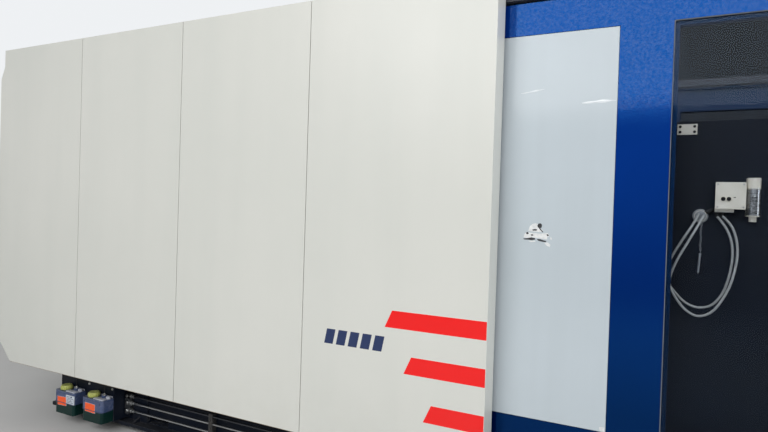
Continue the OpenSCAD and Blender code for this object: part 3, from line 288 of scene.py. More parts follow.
def paintLayers(tree, where, look):
    # masks with their tones, from the bottom up, and masks that dull the paint
    layers, dull = [], []
    if "streak" in look:
        hang = useGroup(tree, where, "streaks", {"Across": look["streakAcross"], "Down": look["streakDown"]})["Mask"]
        layers.append((product(tree, hang, look["streak"]), look["second"]))
    for mark in look.get("marks", []):
        mask = barMask(tree, where, mark["bars"][0], mark["fold"])
        for bar in mark["bars"][1:]:
            mask = mathNode(tree, "MAXIMUM", mask, barMask(tree, where, bar, mark["fold"]))
        layers.append((mask, mark["colour"]))
    if "grime" in look:
        top = look["grimeTop"]
        layers.append((useGroup(tree, where, "grime", {
            "Clean Height": top, "Dirty Height": top - look["grimeReach"], "Amount": look["grime"],
        })["Mask"], look["grimeColour"]))
    # painted shade: the colour darkens towards the bottom between two heights
    if "fade" in look:
        top, bottom, share = look["fade"]
        layers.append((rangeNode(tree, axesOf(tree, where)[2], top, bottom, 0.0, share), look["fadeColour"]))
    if "dust" in look:
        fall = useGroup(tree, where, "dust", {"Amount": look["dust"]})["Mask"]
        layers.append((fall, look["dustColour"]))
        dull.append((fall, look["dustDull"]))
    if "wear" in look:
        worn = useGroup(tree, where, "wear", {"Radius": look["wearRadius"], "Amount": look["wear"]})["Mask"]
        layers.append((worn, look["wearColour"]))
    # painted shade: dark colour on the doors' inner faces and the walls of their windows
    if "mist" in look:
        sides = dict(zip(("Left", "Right", "Low", "High", "Skin"), look["window"]))
        film = useGroup(tree, where, "mist", dict(sides, Amount=look["mist"]))["Mask"]
        layers.append((film, look["mistColour"]))
        dull.append((film, look["mistDull"]))
    return layers, dull


def paintMaterial(name, given):
    look = {**paintDefaults, **given}
    mat, tree, shader, where = newMaterial(name)
    skin = mottled(tree, where, look["colour"], look["second"], look["patches"], look["mottle"])
    colour = skin["Colour"]
    rough = rangeNode(tree, skin["Mask"], 0.0, 1.0, look["rough"], look["rough"] + look["roughSpread"])
    layers, dull = paintLayers(tree, where, look)
    for mask, tone in layers:
        colour = mixColour(tree, mask, colour, rgba(tone))
    for mask, share in dull:
        rough = mathNode(tree, "ADD", rough, product(tree, mask, share), clamp=True)
    fillInputs(tree, shader, {
        "Base Color": colour, "Roughness": rough, "Specular IOR Level": look["specular"],
        "Specular Tint": rgba(look["tint"])})
    if "coat" in look:
        fillInputs(tree, shader, {"Coat Weight": look["coat"], "Coat Roughness": look["coatRough"]})
    if "speckle" in look:
        fine = mottled(tree, where, (0.0, 0.0, 0.0), (1.0, 1.0, 1.0), look["speckleScale"], 1.0)["Mask"]
        low = look["speckleLow"]
        upper = rangeNode(tree, axesOf(tree, where)[2], low - look["speckleFade"], low, 0.0, look["speckle"])
        fillInputs(tree, shader, {"Coat Weight": product(tree, fine, upper)})
    if "cast" in look:
        height = useGroup(tree, where, "cast", {"Grain": look["cast"]})["Height"]
    else:
        height = useGroup(tree, where, "peel", {"Density": look["peel"]})["Height"]
    fillInputs(tree, shader, {"Normal": bumpFrom(tree, height, look["bump"], look["depth"])})
    return mat


metalDefaults = {"roughSpread": 0.15, "bump": 0.12, "depth": 0.0004, "dustColour": (0.2, 0.17, 0.13), "darkShare": 0.9}


def metalMaterial(name, given):
    look = {**metalDefaults, **given}
    mat, tree, shader, where = newMaterial(name)
    grain = useGroup(tree, where, "brushed", {"Stretch": look["stretch"]})
    colour = mixColour(tree, grain["Mask"], rgba(look["colour"]), rgba(look["second"]))
    if "dust" in look:
        fall = useGroup(tree, where, "dust", {"Amount": look["dust"]})["Mask"]
        colour = mixColour(tree, fall, colour, rgba(look["dustColour"]))
    # painted shade: the colour is darkened above a given height
    if "darkAbove" in look:
        over = mathNode(tree, "GREATER_THAN", axesOf(tree, where)[2], look["darkAbove"])
        colour = mixColour(tree, product(tree, over, look["darkShare"]), colour, rgba(look["darkColour"]))
    fillInputs(tree, shader, {
        "Base Color": colour, "Metallic": 1.0,
        "Roughness": rangeNode(tree, grain["Height"], 0.3, 0.7, look["rough"], look["rough"] + look["roughSpread"]),
        "Normal": bumpFrom(tree, grain["Height"], look["bump"], look["depth"])})
    return mat


glassDefaults = {"clear": 1.0, "tint": (0.5, 0.5, 0.5), "specular": 0.3, "ior": 1.49, "patches": 3.0, "mottle": 0.6}


def glassMaterial(name, given):
    look = {**glassDefaults, **given}
    mat, tree, shader, where = newMaterial(name)
    film = mottled(tree, where, look["colour"], look["second"], look["patches"], look["mottle"])
    haze = useGroup(tree, where, "streaks", {"Across": 14.0, "Down": 1.2, "Sharpness": 0.7})["Mask"]
    fillInputs(tree, shader, {
        "Base Color": film["Colour"], "Transmission Weight": look["clear"], "IOR": look["ior"],
        "Roughness": rangeNode(tree, haze, 0.0, 1.0, look["rough"], look["rough"] + 0.05),
        "Specular IOR Level": look["specular"], "Specular Tint": rgba(look["tint"])})
    if "shade" in look:
        shadow = tree.nodes.new("ShaderNodeLightPath").outputs["Is Shadow Ray"]
        fillInputs(tree, shader, {"Alpha": rangeNode(tree, shadow, 0.0, 1.0, 1.0, look["shade"])})
    height = useGroup(tree, where, "peel", {"Density": 9.0})["Height"]
    fillInputs(tree, shader, {"Normal": bumpFrom(tree, height, 0.05, 0.002)})
    return mat


# generic livery on the last cover panel: slanted stripes and a short row of blocks
livery = {
    "red": (0.93, 0.001, 0.001), "navy": (0.012, 0.03, 0.11), "fold": -2.502,
    "stripes": {"count": 3, "left": -2.80, "step": (-0.11, 0.215), "low": 0.60, "high": 0.085, "slant": 0.45},
    "blocks": {"count": 5, "left": -3.37, "step": 0.071, "width": 0.052, "low": 0.905, "high": 0.982, "slant": 0.2},
}


def liveryMarks(plan):
    stripes, blocks = plan["stripes"], plan["blocks"]
    redBars = [(stripes["left"] + i * stripes["step"][0], 0.0, stripes["low"] + i * stripes["step"][1],
                stripes["low"] + i * stripes["step"][1] + stripes["high"], stripes["slant"])
               for i in range(stripes["count"])]
    navyBars = [(blocks["left"] + i * blocks["step"], blocks["left"] + i * blocks["step"] + blocks["width"],
                 blocks["low"], blocks["high"], blocks["slant"]) for i in range(blocks["count"])]
    return [{"colour": plan["red"], "bars": redBars, "fold": plan["fold"]},
            {"colour": plan["navy"], "bars": navyBars, "fold": plan["fold"]}]


def paint(colour, second, patches, mottle, rough, bump, **more):
    return dict(more, colour=colour, second=second, patches=patches, mottle=mottle, rough=rough, bump=bump)


def metal(colour, second, rough, stretch, **more):
    return dict(more, colour=colour, second=second, rough=rough, stretch=stretch)


def glass(colour, second, rough, **more):
    return dict(more, colour=colour, second=second, rough=rough)


# paints: colour, second colour, patches a metre, share of patches, roughness, bump, then what else differs
coverLook = paint((0.72, 0.722, 0.675), (0.64, 0.655, 0.61), 0.7, 0.55, 0.3, 0.22, streak=0.35, streakAcross=5.0,
    peel=260.0, grime=0.12, grimeTop=0.75, grimeColour=(0.36, 0.31, 0.24), specular=0.45, coat=0.15, coatRough=0.25)
paints = {
    "coverPaint": coverLook,
    "coverPaintMarked": dict(coverLook, marks=liveryMarks(livery)),
    "doorPaint": paint((0.0014, 0.027, 0.215), (0.001, 0.021, 0.168), 1.1, 0.5, 0.035, 0.2, roughSpread=0.015,
        peel=230.0, depth=0.0008, specular=1.0, tint=(0.03, 0.25, 0.72), dust=0.2, dustColour=(0.10, 0.13, 0.2),
        # painted shade: the door's colour darkens towards its bottom
        fade=(1.9, 0.75, 0.9), fadeColour=(0.0002, 0.004, 0.034), coat=0.1, coatRough=0.05, speckle=0.32,
        # painted shade: dark colour on the door's inner face and window walls
        speckleScale=110.0, speckleLow=2.1, mist=0.92, mistColour=(0.003, 0.005, 0.012),
        window=(-1.796, -0.254, 0.654, 2.446, 1.139)),
    "infillPaint": paint((0.55, 0.615, 0.66), (0.49, 0.55, 0.585), 0.9, 0.6, 0.1, 0.05, streak=0.3,
        streakAcross=12.0, peel=60.0, specular=0.3, coat=0.03, coatRough=0.06),
    # bed colour near black: partly its own dark paint, partly painted shade under the covers
    "bedPaint": paint((0.003, 0.007, 0.018), (0.006, 0.009, 0.014), 3.0, 0.7, 0.42, 0.12, cast=150.0, depth=0.0006,
        specular=0.18, dust=0.08, grime=0.12, grimeTop=0.4, wear=0.2),
    "injectionBedPaint": paint((0.010, 0.018, 0.045), (0.014, 0.02, 0.034), 1.4, 0.7, 0.36, 0.25, peel=200.0,
        specular=0.25, dust=0.4, grime=0.25, grimeTop=0.7, wear=0.3),
    "railPaint": paint((0.05, 0.056, 0.07), (0.035, 0.038, 0.045), 5.0, 0.6, 0.42, 0.2, peel=260.0, depth=0.0006,
        specular=0.25, dust=0.25, wear=0.4),
    "padIron": paint((0.035, 0.036, 0.04), (0.06, 0.05, 0.042), 14.0, 0.8, 0.55, 0.4, cast=120.0, wear=0.5),
    # platen colour near black: partly its own dark paint, partly painted shade inside the guard
    "platenPaint": paint((0.005, 0.009, 0.018), (0.008, 0.011, 0.017), 2.2, 0.6, 0.46, 0.12, cast=160.0,
        depth=0.0006, specular=0.16, dust=0.3, wear=0.3),
    "linkIron": paint((0.05, 0.055, 0.065), (0.075, 0.07, 0.06), 5.0, 0.7, 0.4, 0.3, cast=80.0, wear=0.6,
        wearColour=(0.45, 0.44, 0.42)),
    "crossheadIron": paint((0.09, 0.095, 0.10), (0.06, 0.06, 0.06), 6.0, 0.7, 0.38, 0.25, cast=90.0, wear=0.6,
        wearColour=(0.5, 0.49, 0.47)),
    "handleBlack": paint((0.014, 0.014, 0.016), (0.022, 0.022, 0.022), 20.0, 0.5, 0.42, 0.3, peel=900.0,
        depth=0.0003),
    "headPaint": paint((0.055, 0.085, 0.19), (0.10, 0.125, 0.21), 16.0, 0.6, 0.24, 0.15, peel=500.0, depth=0.0004,
        dust=0.3, coat=0.3),
    "cabinetPaint": paint((0.60, 0.61, 0.58), (0.54, 0.55, 0.53), 1.3, 0.5, 0.4, 0.3, streak=0.2, peel=420.0,
        depth=0.0005, grime=0.15, grimeTop=0.5, dust=0.3),
    "motorPaint": paint((0.018, 0.05, 0.19), (0.014, 0.035, 0.12), 6.0, 0.6, 0.35, 0.3, cast=140.0, dust=0.55,
        wear=0.5),
    "hydraulicGrey": paint((0.10, 0.105, 0.11), (0.07, 0.068, 0.06), 9.0, 0.8, 0.36, 0.3, cast=120.0, dust=0.5,
        wear=0.6, wearColour=(0.42, 0.41, 0.4)),
    "junctionGrey": paint((0.93, 0.87, 0.74), (0.82, 0.75, 0.62), 18.0, 0.6, 0.4, 0.2, peel=700.0, depth=0.0003,
        dust=0.35),
    "hoseGrey": paint((0.50, 0.51, 0.50), (0.36, 0.36, 0.34), 22.0, 0.8, 0.24, 0.15, peel=600.0, depth=0.0003,
        coat=0.5),
    "stopRed": paint((0.62, 0.008, 0.008), (0.5, 0.006, 0.006), 30.0, 0.5, 0.22, 0.05, peel=900.0, depth=0.0002,
        coat=0.4),
    "labelOrange": paint((1.0, 0.115, 0.016), (0.92, 0.10, 0.014), 25.0, 0.5, 0.3, 0.05, peel=500.0, depth=0.0002),
    "labelWhite": paint((0.66, 0.72, 0.78), (0.45, 0.5, 0.58), 60.0, 0.7, 0.3, 0.08, peel=700.0, depth=0.0002),
    "capGreen": paint((0.50, 0.53, 0.14), (0.36, 0.39, 0.09), 40.0, 0.7, 0.35, 0.1, peel=500.0, depth=0.0003,
        dust=0.2),
    "rubberBlack": paint((0.010, 0.010, 0.011), (0.02, 0.02, 0.019), 12.0, 0.6, 0.6, 0.25, specular=0.2, peel=600.0,
        depth=0.0003),
    "filmClear": paint((0.80, 0.84, 0.87), (0.68, 0.73, 0.78), 30.0, 0.6, 0.12, 0.3, peel=150.0, depth=0.0005,
        coat=0.6, coatRough=0.04),
    "paperTorn": paint((0.82, 0.83, 0.83), (0.6, 0.62, 0.63), 70.0, 0.7, 0.7, 0.5, peel=400.0, depth=0.0006),
    "paperInk": paint((0.014, 0.015, 0.02), (0.05, 0.05, 0.055), 90.0, 0.7, 0.55, 0.4, peel=500.0, depth=0.0004),
    "trimBrown": paint((0.30, 0.23, 0.16), (0.22, 0.15, 0.09), 20.0, 0.7, 0.5, 0.2, peel=300.0, depth=0.0003),
    "lidGrey": paint((0.50, 0.52, 0.58), (0.34, 0.37, 0.46), 35.0, 0.7, 0.35, 0.12, peel=500.0, depth=0.0003,
        dust=0.25),
    "headDark": paint((0.035, 0.06, 0.14), (0.06, 0.08, 0.14), 30.0, 0.6, 0.3, 0.12, peel=500.0, depth=0.0003),
    "dullAluminium": paint((0.36, 0.38, 0.40), (0.24, 0.25, 0.27), 30.0, 0.7, 0.34, 0.2, peel=700.0, depth=0.0003,
        wear=0.4, wearRadius=0.002),
    "keyGrey": paint((0.20, 0.22, 0.25), (0.14, 0.15, 0.17), 60.0, 0.6, 0.42, 0.15, peel=800.0, depth=0.0002),
    "sealGrey": paint((0.16, 0.175, 0.20), (0.09, 0.10, 0.12), 9.0, 0.8, 0.4, 0.15, peel=700.0, depth=0.0002),
    "collarYellow": paint((0.80, 0.56, 0.02), (0.66, 0.44, 0.02), 50.0, 0.6, 0.3, 0.08, peel=700.0, depth=0.0002),
    "boltBlack": paint((0.03, 0.031, 0.034), (0.06, 0.052, 0.045), 40.0, 0.7, 0.35, 0.15, peel=600.0, depth=0.0003,
        wear=0.6, wearRadius=0.002),
}
# metals: colour, second colour, roughness, stretch of the grain, then what else differs
metals = {
    "groundSteel": metal((0.52, 0.53, 0.54), (0.40, 0.39, 0.36), 0.22, (3.0, 260.0, 260.0), dust=0.25),
    "platedSteel": metal((0.55, 0.56, 0.55), (0.42, 0.41, 0.37), 0.3, (30.0, 200.0, 200.0), dust=0.3),
    # painted shade: the top pipe, in the covers' shade, is darker
    "pipeSteel": metal((0.62, 0.63, 0.64), (0.46, 0.46, 0.45), 0.2, (4.0, 300.0, 300.0), darkAbove=0.222,
        darkColour=(0.05, 0.055, 0.07)),
    "barChrome": metal((0.50, 0.51, 0.52), (0.42, 0.42, 0.41), 0.09, (2.0, 90.0, 90.0), roughSpread=0.08, bump=0.04),
    "barrelSteel": metal((0.26, 0.24, 0.22), (0.36, 0.24, 0.13), 0.34, (120.0, 5.0, 5.0)),
    "bandSteel": metal((0.52, 0.50, 0.46), (0.40, 0.33, 0.22), 0.28, (160.0, 6.0, 6.0)),
    "hopperSteel": metal((0.60, 0.61, 0.61), (0.50, 0.50, 0.49), 0.24, (160.0, 160.0, 4.0), dust=0.15),
    "boltZinc": metal((0.58, 0.59, 0.58), (0.45, 0.44, 0.40), 0.28, (200.0, 200.0, 200.0)),
}
glasses = {
    "tintedGlazing": glass((0.66, 0.70, 0.75), (0.62, 0.66, 0.71), 0.012, shade=0.25, tint=(0.10, 0.12, 0.15)),
    "darkGlazing": glass((0.12, 0.15, 0.20), (0.10, 0.125, 0.17), 0.03, shade=0.85, tint=(0.2, 0.22, 0.25)),
    "tankPlastic": glass((0.006, 0.040, 0.034), (0.004, 0.026, 0.024), 0.28, clear=0.3),
    "gaugeGlass": glass((0.85, 0.88, 0.86), (0.8, 0.84, 0.8), 0.04),
}
materials = {name: paintMaterial(name, look) for name, look in paints.items()}
materials.update({name: metalMaterial(name, look) for name, look in metals.items()})
materials.update({name: glassMaterial(name, look) for name, look in glasses.items()})
print("materials made:", len(materials))

# screen with generic tiles and bars, no lettering; bars are (left, right, low, high)
screenPanel = {
    "glass": (0.012, 0.03, 0.06), "second": (0.02, 0.03, 0.04), "glow": 0.35, "rough": (0.08, 0.22), "fold": 1000.0,
    "tiles": [
        ((0.05, 0.14, 0.30), [(-0.009, 0.325, 1.655, 1.672)]),
        ((0.10, 0.34, 0.22), [(0.015 + i * 0.075, 0.075 + i * 0.075, 1.59, 1.64) for i in range(4)]),
        ((0.55, 0.57, 0.60), [(0.015, 0.20, 1.545 - i * 0.024, 1.557 - i * 0.024) for i in range(4)]),
        ((0.75, 0.34, 0.05), [(0.23 + i * 0.018, 0.24 + i * 0.018, 1.47, 1.49 + 0.016 * ((i * 3) % 5))
                              for i in range(5)]),
        ((0.18, 0.2, 0.24), [(0.015 + i * 0.05, 0.055 + i * 0.05, 1.43, 1.452) for i in range(6)]),
    ],
}


def screenMaterial(name, panel):
    mat, tree, shader, where = newMaterial(name)
    colour = mottled(tree, where, panel["glass"], panel["second"], 20.0, 0.6)["Colour"]
    for tone, bars in panel["tiles"]:
        for bar in bars:
            colour = mixColour(tree, barMask(tree, where, bar, panel["fold"]), colour, rgba(tone))
    smudge = mottled(tree, where, (0.06, 0.06, 0.06), (0.2, 0.2, 0.2), 25.0, 0.8)["Mask"]
    fillInputs(tree, shader, {
        "Base Color": colour, "Emission Color": colour, "Emission Strength": panel["glow"],
        "Roughness": rangeNode(tree, smudge, 0.0, 1.0, *panel["rough"])})
    return mat


materials["screenGlass"] = screenMaterial("screenGlass", screenPanel)

slotLooks = {
    "bed_paint": "bedPaint", "injection_bed_paint": "injectionBedPaint", "ground_steel": "groundSteel",
    "plated_steel": "platedSteel", "pad_iron": "padIron", "platen_paint": "platenPaint", "bar_chrome": "barChrome",
    "cover_paint": "coverPaint", "door_paint": "doorPaint", "infill_paint": "infillPaint",
    "tinted_glazing": "tintedGlazing", "handle_black": "handleBlack", "tank_plastic": "tankPlastic",
    "head_paint": "headPaint", "cabinet_paint": "cabinetPaint", "motor_paint": "motorPaint",
    "hydraulic_grey": "hydraulicGrey", "screen": "screenGlass", "stop_red": "stopRed", "link_iron": "linkIron",
    "crosshead_iron": "crossheadIron", "junction_grey": "junctionGrey", "hose_grey": "hoseGrey",
    "hose_black": "rubberBlack", "barrel_steel": "barrelSteel", "band_steel": "bandSteel",
    "hopper_steel": "hopperSteel",
}
nodeLooks = {
    "front_cover_panel_4": "coverPaintMarked", "bed_pipes": "pipeSteel", "rear_door_window": "darkGlazing",
    "door_rails": "railPaint",
}


def dressNodes(sharpDeg):
    slotOf = {part["node"]: part["material_slot"] for part in frame["record"]["subparts"]}
    for nodeName, obj in frame["nodes"].items():
        look = nodeLooks.get(nodeName) or slotLooks[slotOf[nodeName]]
        for slot in obj.material_slots:
            slot.material = materials[look]
        obj.data.set_sharp_from_angle(angle=math.radians(sharpDeg))


dressNodes(32)
print("nodes dressed")


# mesh helpers

toFront, toRear, upward, lengthways = (0, -1, 0), (0, 1, 0), (0, 0, 1), (1, 0, 0)


def addBlock(bm, low, high, soft=0.0, steps=2):
    made = bmesh.ops.create_cube(bm, size=1.0)["verts"]
    for v in made:
        v.co = Vector([low[i] + (v.co[i] + 0.5) * (high[i] - low[i]) for i in range(3)])
    if soft:
        edges = list({e for v in made for e in v.link_edges})
        bmesh.ops.bevel(bm, geom=edges, offset=soft, segments=steps, profile=0.5, affect="EDGES")


def axisFrame(axis):
    axis = Vector(axis).normalized()
    helper = Vector((0, 0, 1)) if abs(axis.z) < 0.9 else Vector((1, 0, 0))
    side = axis.cross(helper).normalized()
    return side, axis.cross(side).normalized(), axis


def circle(radius, count, at=(0.0, 0.0), start=0.0):
    return [(at[0] + radius * math.cos(a), at[1] + radius * math.sin(a))
            for a in (start + 2 * math.pi * k / count for k in range(count))]


def closed(points):
    return points + points[:1]


def skinRings(bm, rings, ends=True):
    # walls between neighbouring rings, and a face over each end
    for a, b in zip(rings, rings[1:]):
        for i in range(len(a)):
            k = (i + 1) % len(a)
            bm.faces.new((a[i], a[k], b[k], b[i]))
    if ends:
        bm.faces.new(rings[0][::-1])
        bm.faces.new(rings[-1])


def addLathe(bm, centre, axis, profile, sides, turn=0.0):
    # profile: (distance along the axis, radius), ends closed
    side, other, along = axisFrame(axis)
    skinRings(bm, [[bm.verts.new(Vector(centre) + along * reach + side * u + other * v)
                    for u, v in circle(radius, sides, start=turn)] for reach, radius in profile])


def addHexBolt(bm, centre, axis, size, turn=0.0):
    # washer, chamfered six-sided head
    washer, head = ([(reach * size, radius * size) for reach, radius in rows] for rows in (
        ((0, 1.18), (0.16, 1.18), (0.2, 1.1)), ((0.2, 1), (0.72, 1), (0.86, 0.84), (0.87, 0.3))))
    addLathe(bm, centre, axis, washer, 20)
    addLathe(bm, centre, axis, head, 6, turn)


def addSocketBolt(bm, centre, axis, size):
    # round head with a sunk socket
    rows = ((0, 1), (0.85, 1), (0.98, 0.88), (1, 0.55), (0.45, 0.5))
    addLathe(bm, centre, axis, [(reach * size, radius * size) for reach, radius in rows] + [(size * 0.44, 0.0004)], 18)


def addEach(add, bm, spots, axis, *shape):
    for spot in spots:
        add(bm, spot, axis, *shape)


def grid(xs, ys, zs):
    # every spot at these distances
    return [(x, y, z) for x in xs for y in ys for z in zs]


def addTube(bm, points, radius, sides=10):
    points = [Vector(p) for p in points]
    rings = []
    normal = axisFrame((points[1] - points[0]).normalized())[0]
    for i, p in enumerate(points):
        ahead = (points[min(i + 1, len(points) - 1)] - points[max(i - 1, 0)]).normalized()
        normal = (normal - ahead * normal.dot(ahead)).normalized()
        other = ahead.cross(normal)
        rings.append([bm.verts.new(p + normal * u + other * v) for u, v in circle(radius, sides)])
    skinRings(bm, rings)


def smoothPath(points, steps):
    points = [Vector(p) for p in points]
    out = []
    for i in range(len(points) - 1):
        p0, p1, p2, p3 = points[max(i - 1, 0)], points[i], points[i + 1], points[min(i + 2, len(points) - 1)]
        for t in (k / steps for k in range(steps)):
            out.append(0.5 * ((2 * p1) + (p2 - p0) * t + (2 * p0 - 5 * p1 + 4 * p2 - p3) * t * t
                              + (3 * p1 - p0 - 3 * p2 + p3) * t ** 3))
    return out + [points[-1]]


def addOutline(bm, outline, toWorld, low, high):
    # prism of a flat outline, (u, v) pairs, between two depths
    skinRings(bm, [[bm.verts.new(toWorld(u, v, d)) for u, v in outline] for d in (low, high)])


def roundedRect(u0, u1, v0, v1, r, steps=5):
    corners = [(u1 - r, v1 - r, 0), (u0 + r, v1 - r, 90), (u0 + r, v0 + r, 180), (u1 - r, v0 + r, 270)]
    turns = [math.radians(90 * k / steps) for k in range(steps + 1)]
    return [(cu + r * math.cos(math.radians(a) + t), cv + r * math.sin(math.radians(a) + t))
            for cu, cv, a in corners for t in turns]


def insetRect(box, gap, r, steps=5):
    u0, u1, v0, v1 = box
    return roundedRect(u0 + gap, u1 - gap, v0 + gap, v1 - gap, r, steps)


def addFrameRing(bm, outer, inner, toWorld, low, high, soft=0.0):
    # flat ring between two outlines with as many points each
    crown = [((o[0] * 3 + i[0]) / 4, (o[1] * 3 + i[1]) / 4) for o, i in zip(outer, inner)]
    levels = [(outer, low), (outer, high - soft), (crown, high), (inner, high - soft), (inner, low)]
    loops = [[bm.verts.new(toWorld(u, v, d)) for u, v in pts] for pts, d in levels]
    skinRings(bm, loops + loops[:1], ends=False)


def onWall(side, face):
    # a face square to Y, side -1 for the operator side: u runs along X, v up, depth out of the face
    return lambda u, v, d: Vector((u, side * (face + d), v))


def onTop(u, v, d):
    return Vector((u, v, d))


def newMeshes(count):
    return [bmesh.new() for _ in range(count)]


def makePiece(name, bm, body, look, sharpDeg=35):
    bmesh.ops.recalc_face_normals(bm, faces=bm.faces[:])
    mesh = bpy.data.meshes.new(name)
    bm.to_mesh(mesh)
    bm.free()
    mesh.polygons.foreach_set("use_smooth", [True] * len(mesh.polygons))
    mesh.set_sharp_from_angle(angle=math.radians(sharpDeg))
    mesh.materials.append(materials[look])
    obj = bpy.data.objects.new(name, mesh)
    bpy.context.scene.collection.objects.link(obj)
    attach(obj, body)


# grey seals of the door windows
windowSeal = {"box": (-1.79, -0.26, 0.66, 2.44), "gap": 0.0005, "width": 0.004, "rounds": (0.003, 0.006),
              "face": 1.14, "depths": (-0.0068, 0.0009), "soft": 0.0012}


def makeWindowSeals(plan):
    outer = insetRect(plan["box"], plan["gap"], plan["rounds"][0])
    inner = insetRect(plan["box"], plan["width"], plan["rounds"][1])
    for body, side, name in (("front_door", -1, "frontWindowSeal"), ("rear_door", 1, "rearWindowSeal")):
        bm = bmesh.new()
        addFrameRing(bm, outer, inner, onWall(side, plan["face"]), *plan["depths"], plan["soft"])
        makePiece(name, bm, body, "sealGrey")


makeWindowSeals(windowSeal)

# wrinkles of the protective film on the pale door panel: half width and route
panelFilm = {
    "face": -1.139, "proud": 0.0009, "section": ((-1, 0.02), (-0.4, 0.7), (0, 1.0), (0.4, 0.7), (1, 0.02)),
    "wrinkles": [(0.0035, [(-2.425, 2.172), (-2.39, 2.175), (-2.35, 2.181), (-2.315, 2.186)]),
                 (0.006, [(-2.15, 2.112), (-2.10, 2.115), (-2.05, 2.1165), (-2.006, 2.117)]),
                 (0.0022, [(-2.72, 1.72), (-2.722, 1.66), (-2.715, 1.6)]),
                 (0.004, [(-2.688, 1.665), (-2.68, 1.645), (-2.674, 1.625)]),
                 (0.003, [(-2.655, 1.66), (-2.65, 1.648), (-2.648, 1.63)])],
}


def makePanelFilm(plan):
    bm = bmesh.new()
    for wide, route in plan["wrinkles"]:
        path = smoothPath([(x, 0, z) for x, z in route], 10)
        rows = []
        for i, p in enumerate(path):
            ahead = path[min(i + 1, len(path) - 1)] - path[max(i - 1, 0)]
            across = Vector((-ahead.z, 0, ahead.x)).normalized()
            t = i / (len(path) - 1)
            half = wide * (0.15 + 0.85 * math.sin(math.pi * t)) * (1 + 0.25 * math.sin(13 * t))
            rows.append([bm.verts.new((p.x + across.x * half * s, plan["face"] - plan["proud"] * h,
                                       p.z + across.z * half * s)) for s, h in plan["section"]])
        for a, b in zip(rows, rows[1:]):
            for k in range(len(a) - 1):
                bm.faces.new((a[k], a[k + 1], b[k + 1], b[k]))
    makePiece("panelFilmWrinkles", bm, "front_door", "filmClear", 80)


makePanelFilm(panelFilm)

# what is left of a sticker: torn paper and dark scraps; the last paper is a tab in the panel's lower corner
stickerRemains = {
    "face": 1.139, "paperDepths": (-0.0002, 0.00045), "inkDepths": (0.0003, 0.0008),
    "paper": [
        [(-2.368, 1.532), (-2.361, 1.554), (-2.347, 1.565), (-2.333, 1.568), (-2.322, 1.562), (-2.319, 1.548),
         (-2.306, 1.541), (-2.300, 1.529), (-2.312, 1.528), (-2.337, 1.528), (-2.353, 1.529)],
        [(-2.389, 1.500), (-2.386, 1.515), (-2.376, 1.525), (-2.357, 1.523), (-2.337, 1.522), (-2.312, 1.520),
         (-2.296, 1.523), (-2.278, 1.525), (-2.272, 1.512), (-2.281, 1.505), (-2.280, 1.495), (-2.300, 1.497),
         (-2.329, 1.500), (-2.353, 1.502), (-2.373, 1.497)],
        [(-2.368, 1.485), (-2.337, 1.487), (-2.333, 1.482), (-2.353, 1.479)],
        [(-2.294, 1.480), (-2.278, 1.482), (-2.265, 1.472), (-2.268, 1.461), (-2.283, 1.467)],
        [(-2.265, 1.509), (-2.259, 1.500), (-2.263, 1.493), (-2.268, 1.500)],
        [(-2.028, 0.682), (-2.006, 0.684), (-2.006, 0.664), (-2.024, 0.662)],
    ],
    "ink": [
        [(-2.327, 1.558), (-2.322, 1.567), (-2.312, 1.568), (-2.306, 1.562), (-2.307, 1.550), (-2.316, 1.544),
         (-2.325, 1.550)],
        [(-2.350, 1.538), (-2.337, 1.541), (-2.327, 1.539), (-2.330, 1.534), (-2.347, 1.533)],
        [(-2.378, 1.522), (-2.371, 1.526), (-2.365, 1.520), (-2.369, 1.515), (-2.376, 1.516)],
        [(-2.285, 1.517), (-2.279, 1.520), (-2.273, 1.515), (-2.279, 1.510)],
        [(-2.391, 1.494), (-2.373, 1.497), (-2.353, 1.501), (-2.337, 1.499), (-2.334, 1.493), (-2.349, 1.488),
         (-2.368, 1.490), (-2.386, 1.490)],
        [(-2.327, 1.495), (-2.312, 1.495), (-2.298, 1.491), (-2.283, 1.488), (-2.288, 1.482), (-2.304, 1.484),
         (-2.322, 1.488)],
        [(-2.356, 1.515), (-2.347, 1.516), (-2.343, 1.511), (-2.353, 1.509)],
        [(-2.319, 1.544), (-2.314, 1.546), (-2.299, 1.529), (-2.303, 1.527)],
    ],
}


def makeStickerRemains(plan):
    for key, name, look, slotName in (("paper", "tornStickerPaper", "paperTorn", "infill_paint"),
                                      ("ink", "tornStickerScraps", "paperInk", "handle_black")):
        bm = bmesh.new()
        for outline in plan[key]:
            addOutline(bm, outline, onWall(-1, plan["face"]), *plan[key + "Depths"])
        makePiece(name, bm, "front_door", look)


makeStickerRemains(stickerRemains)

# lower trim under the covers, a bent strip: (depth, height) from the covers' lower edge
coverTrim = {
    "ends": (-6.12, -2.52), "height": 0.4, "face": 1.298,
    "section": [(0.0, 0.0), (0.0, -0.003), (0.003, -0.0045), (0.018, -0.0045), (0.018, -0.002), (0.004, -0.002),
                (0.002, 0.0)],
}


def makeCoverTrim(plan):
    for side, name in ((-1, "frontCoverTrim"), (1, "rearCoverTrim")):
        bm = bmesh.new()
        addOutline(bm, plan["section"],
                   lambda u, v, d, s=side: Vector((d, s * (plan["face"] - u), plan["height"] + v)), *plan["ends"])
        makePiece(name, bm, "machine", "trimBrown")


makeCoverTrim(coverTrim)
print("covers and doors detailed")

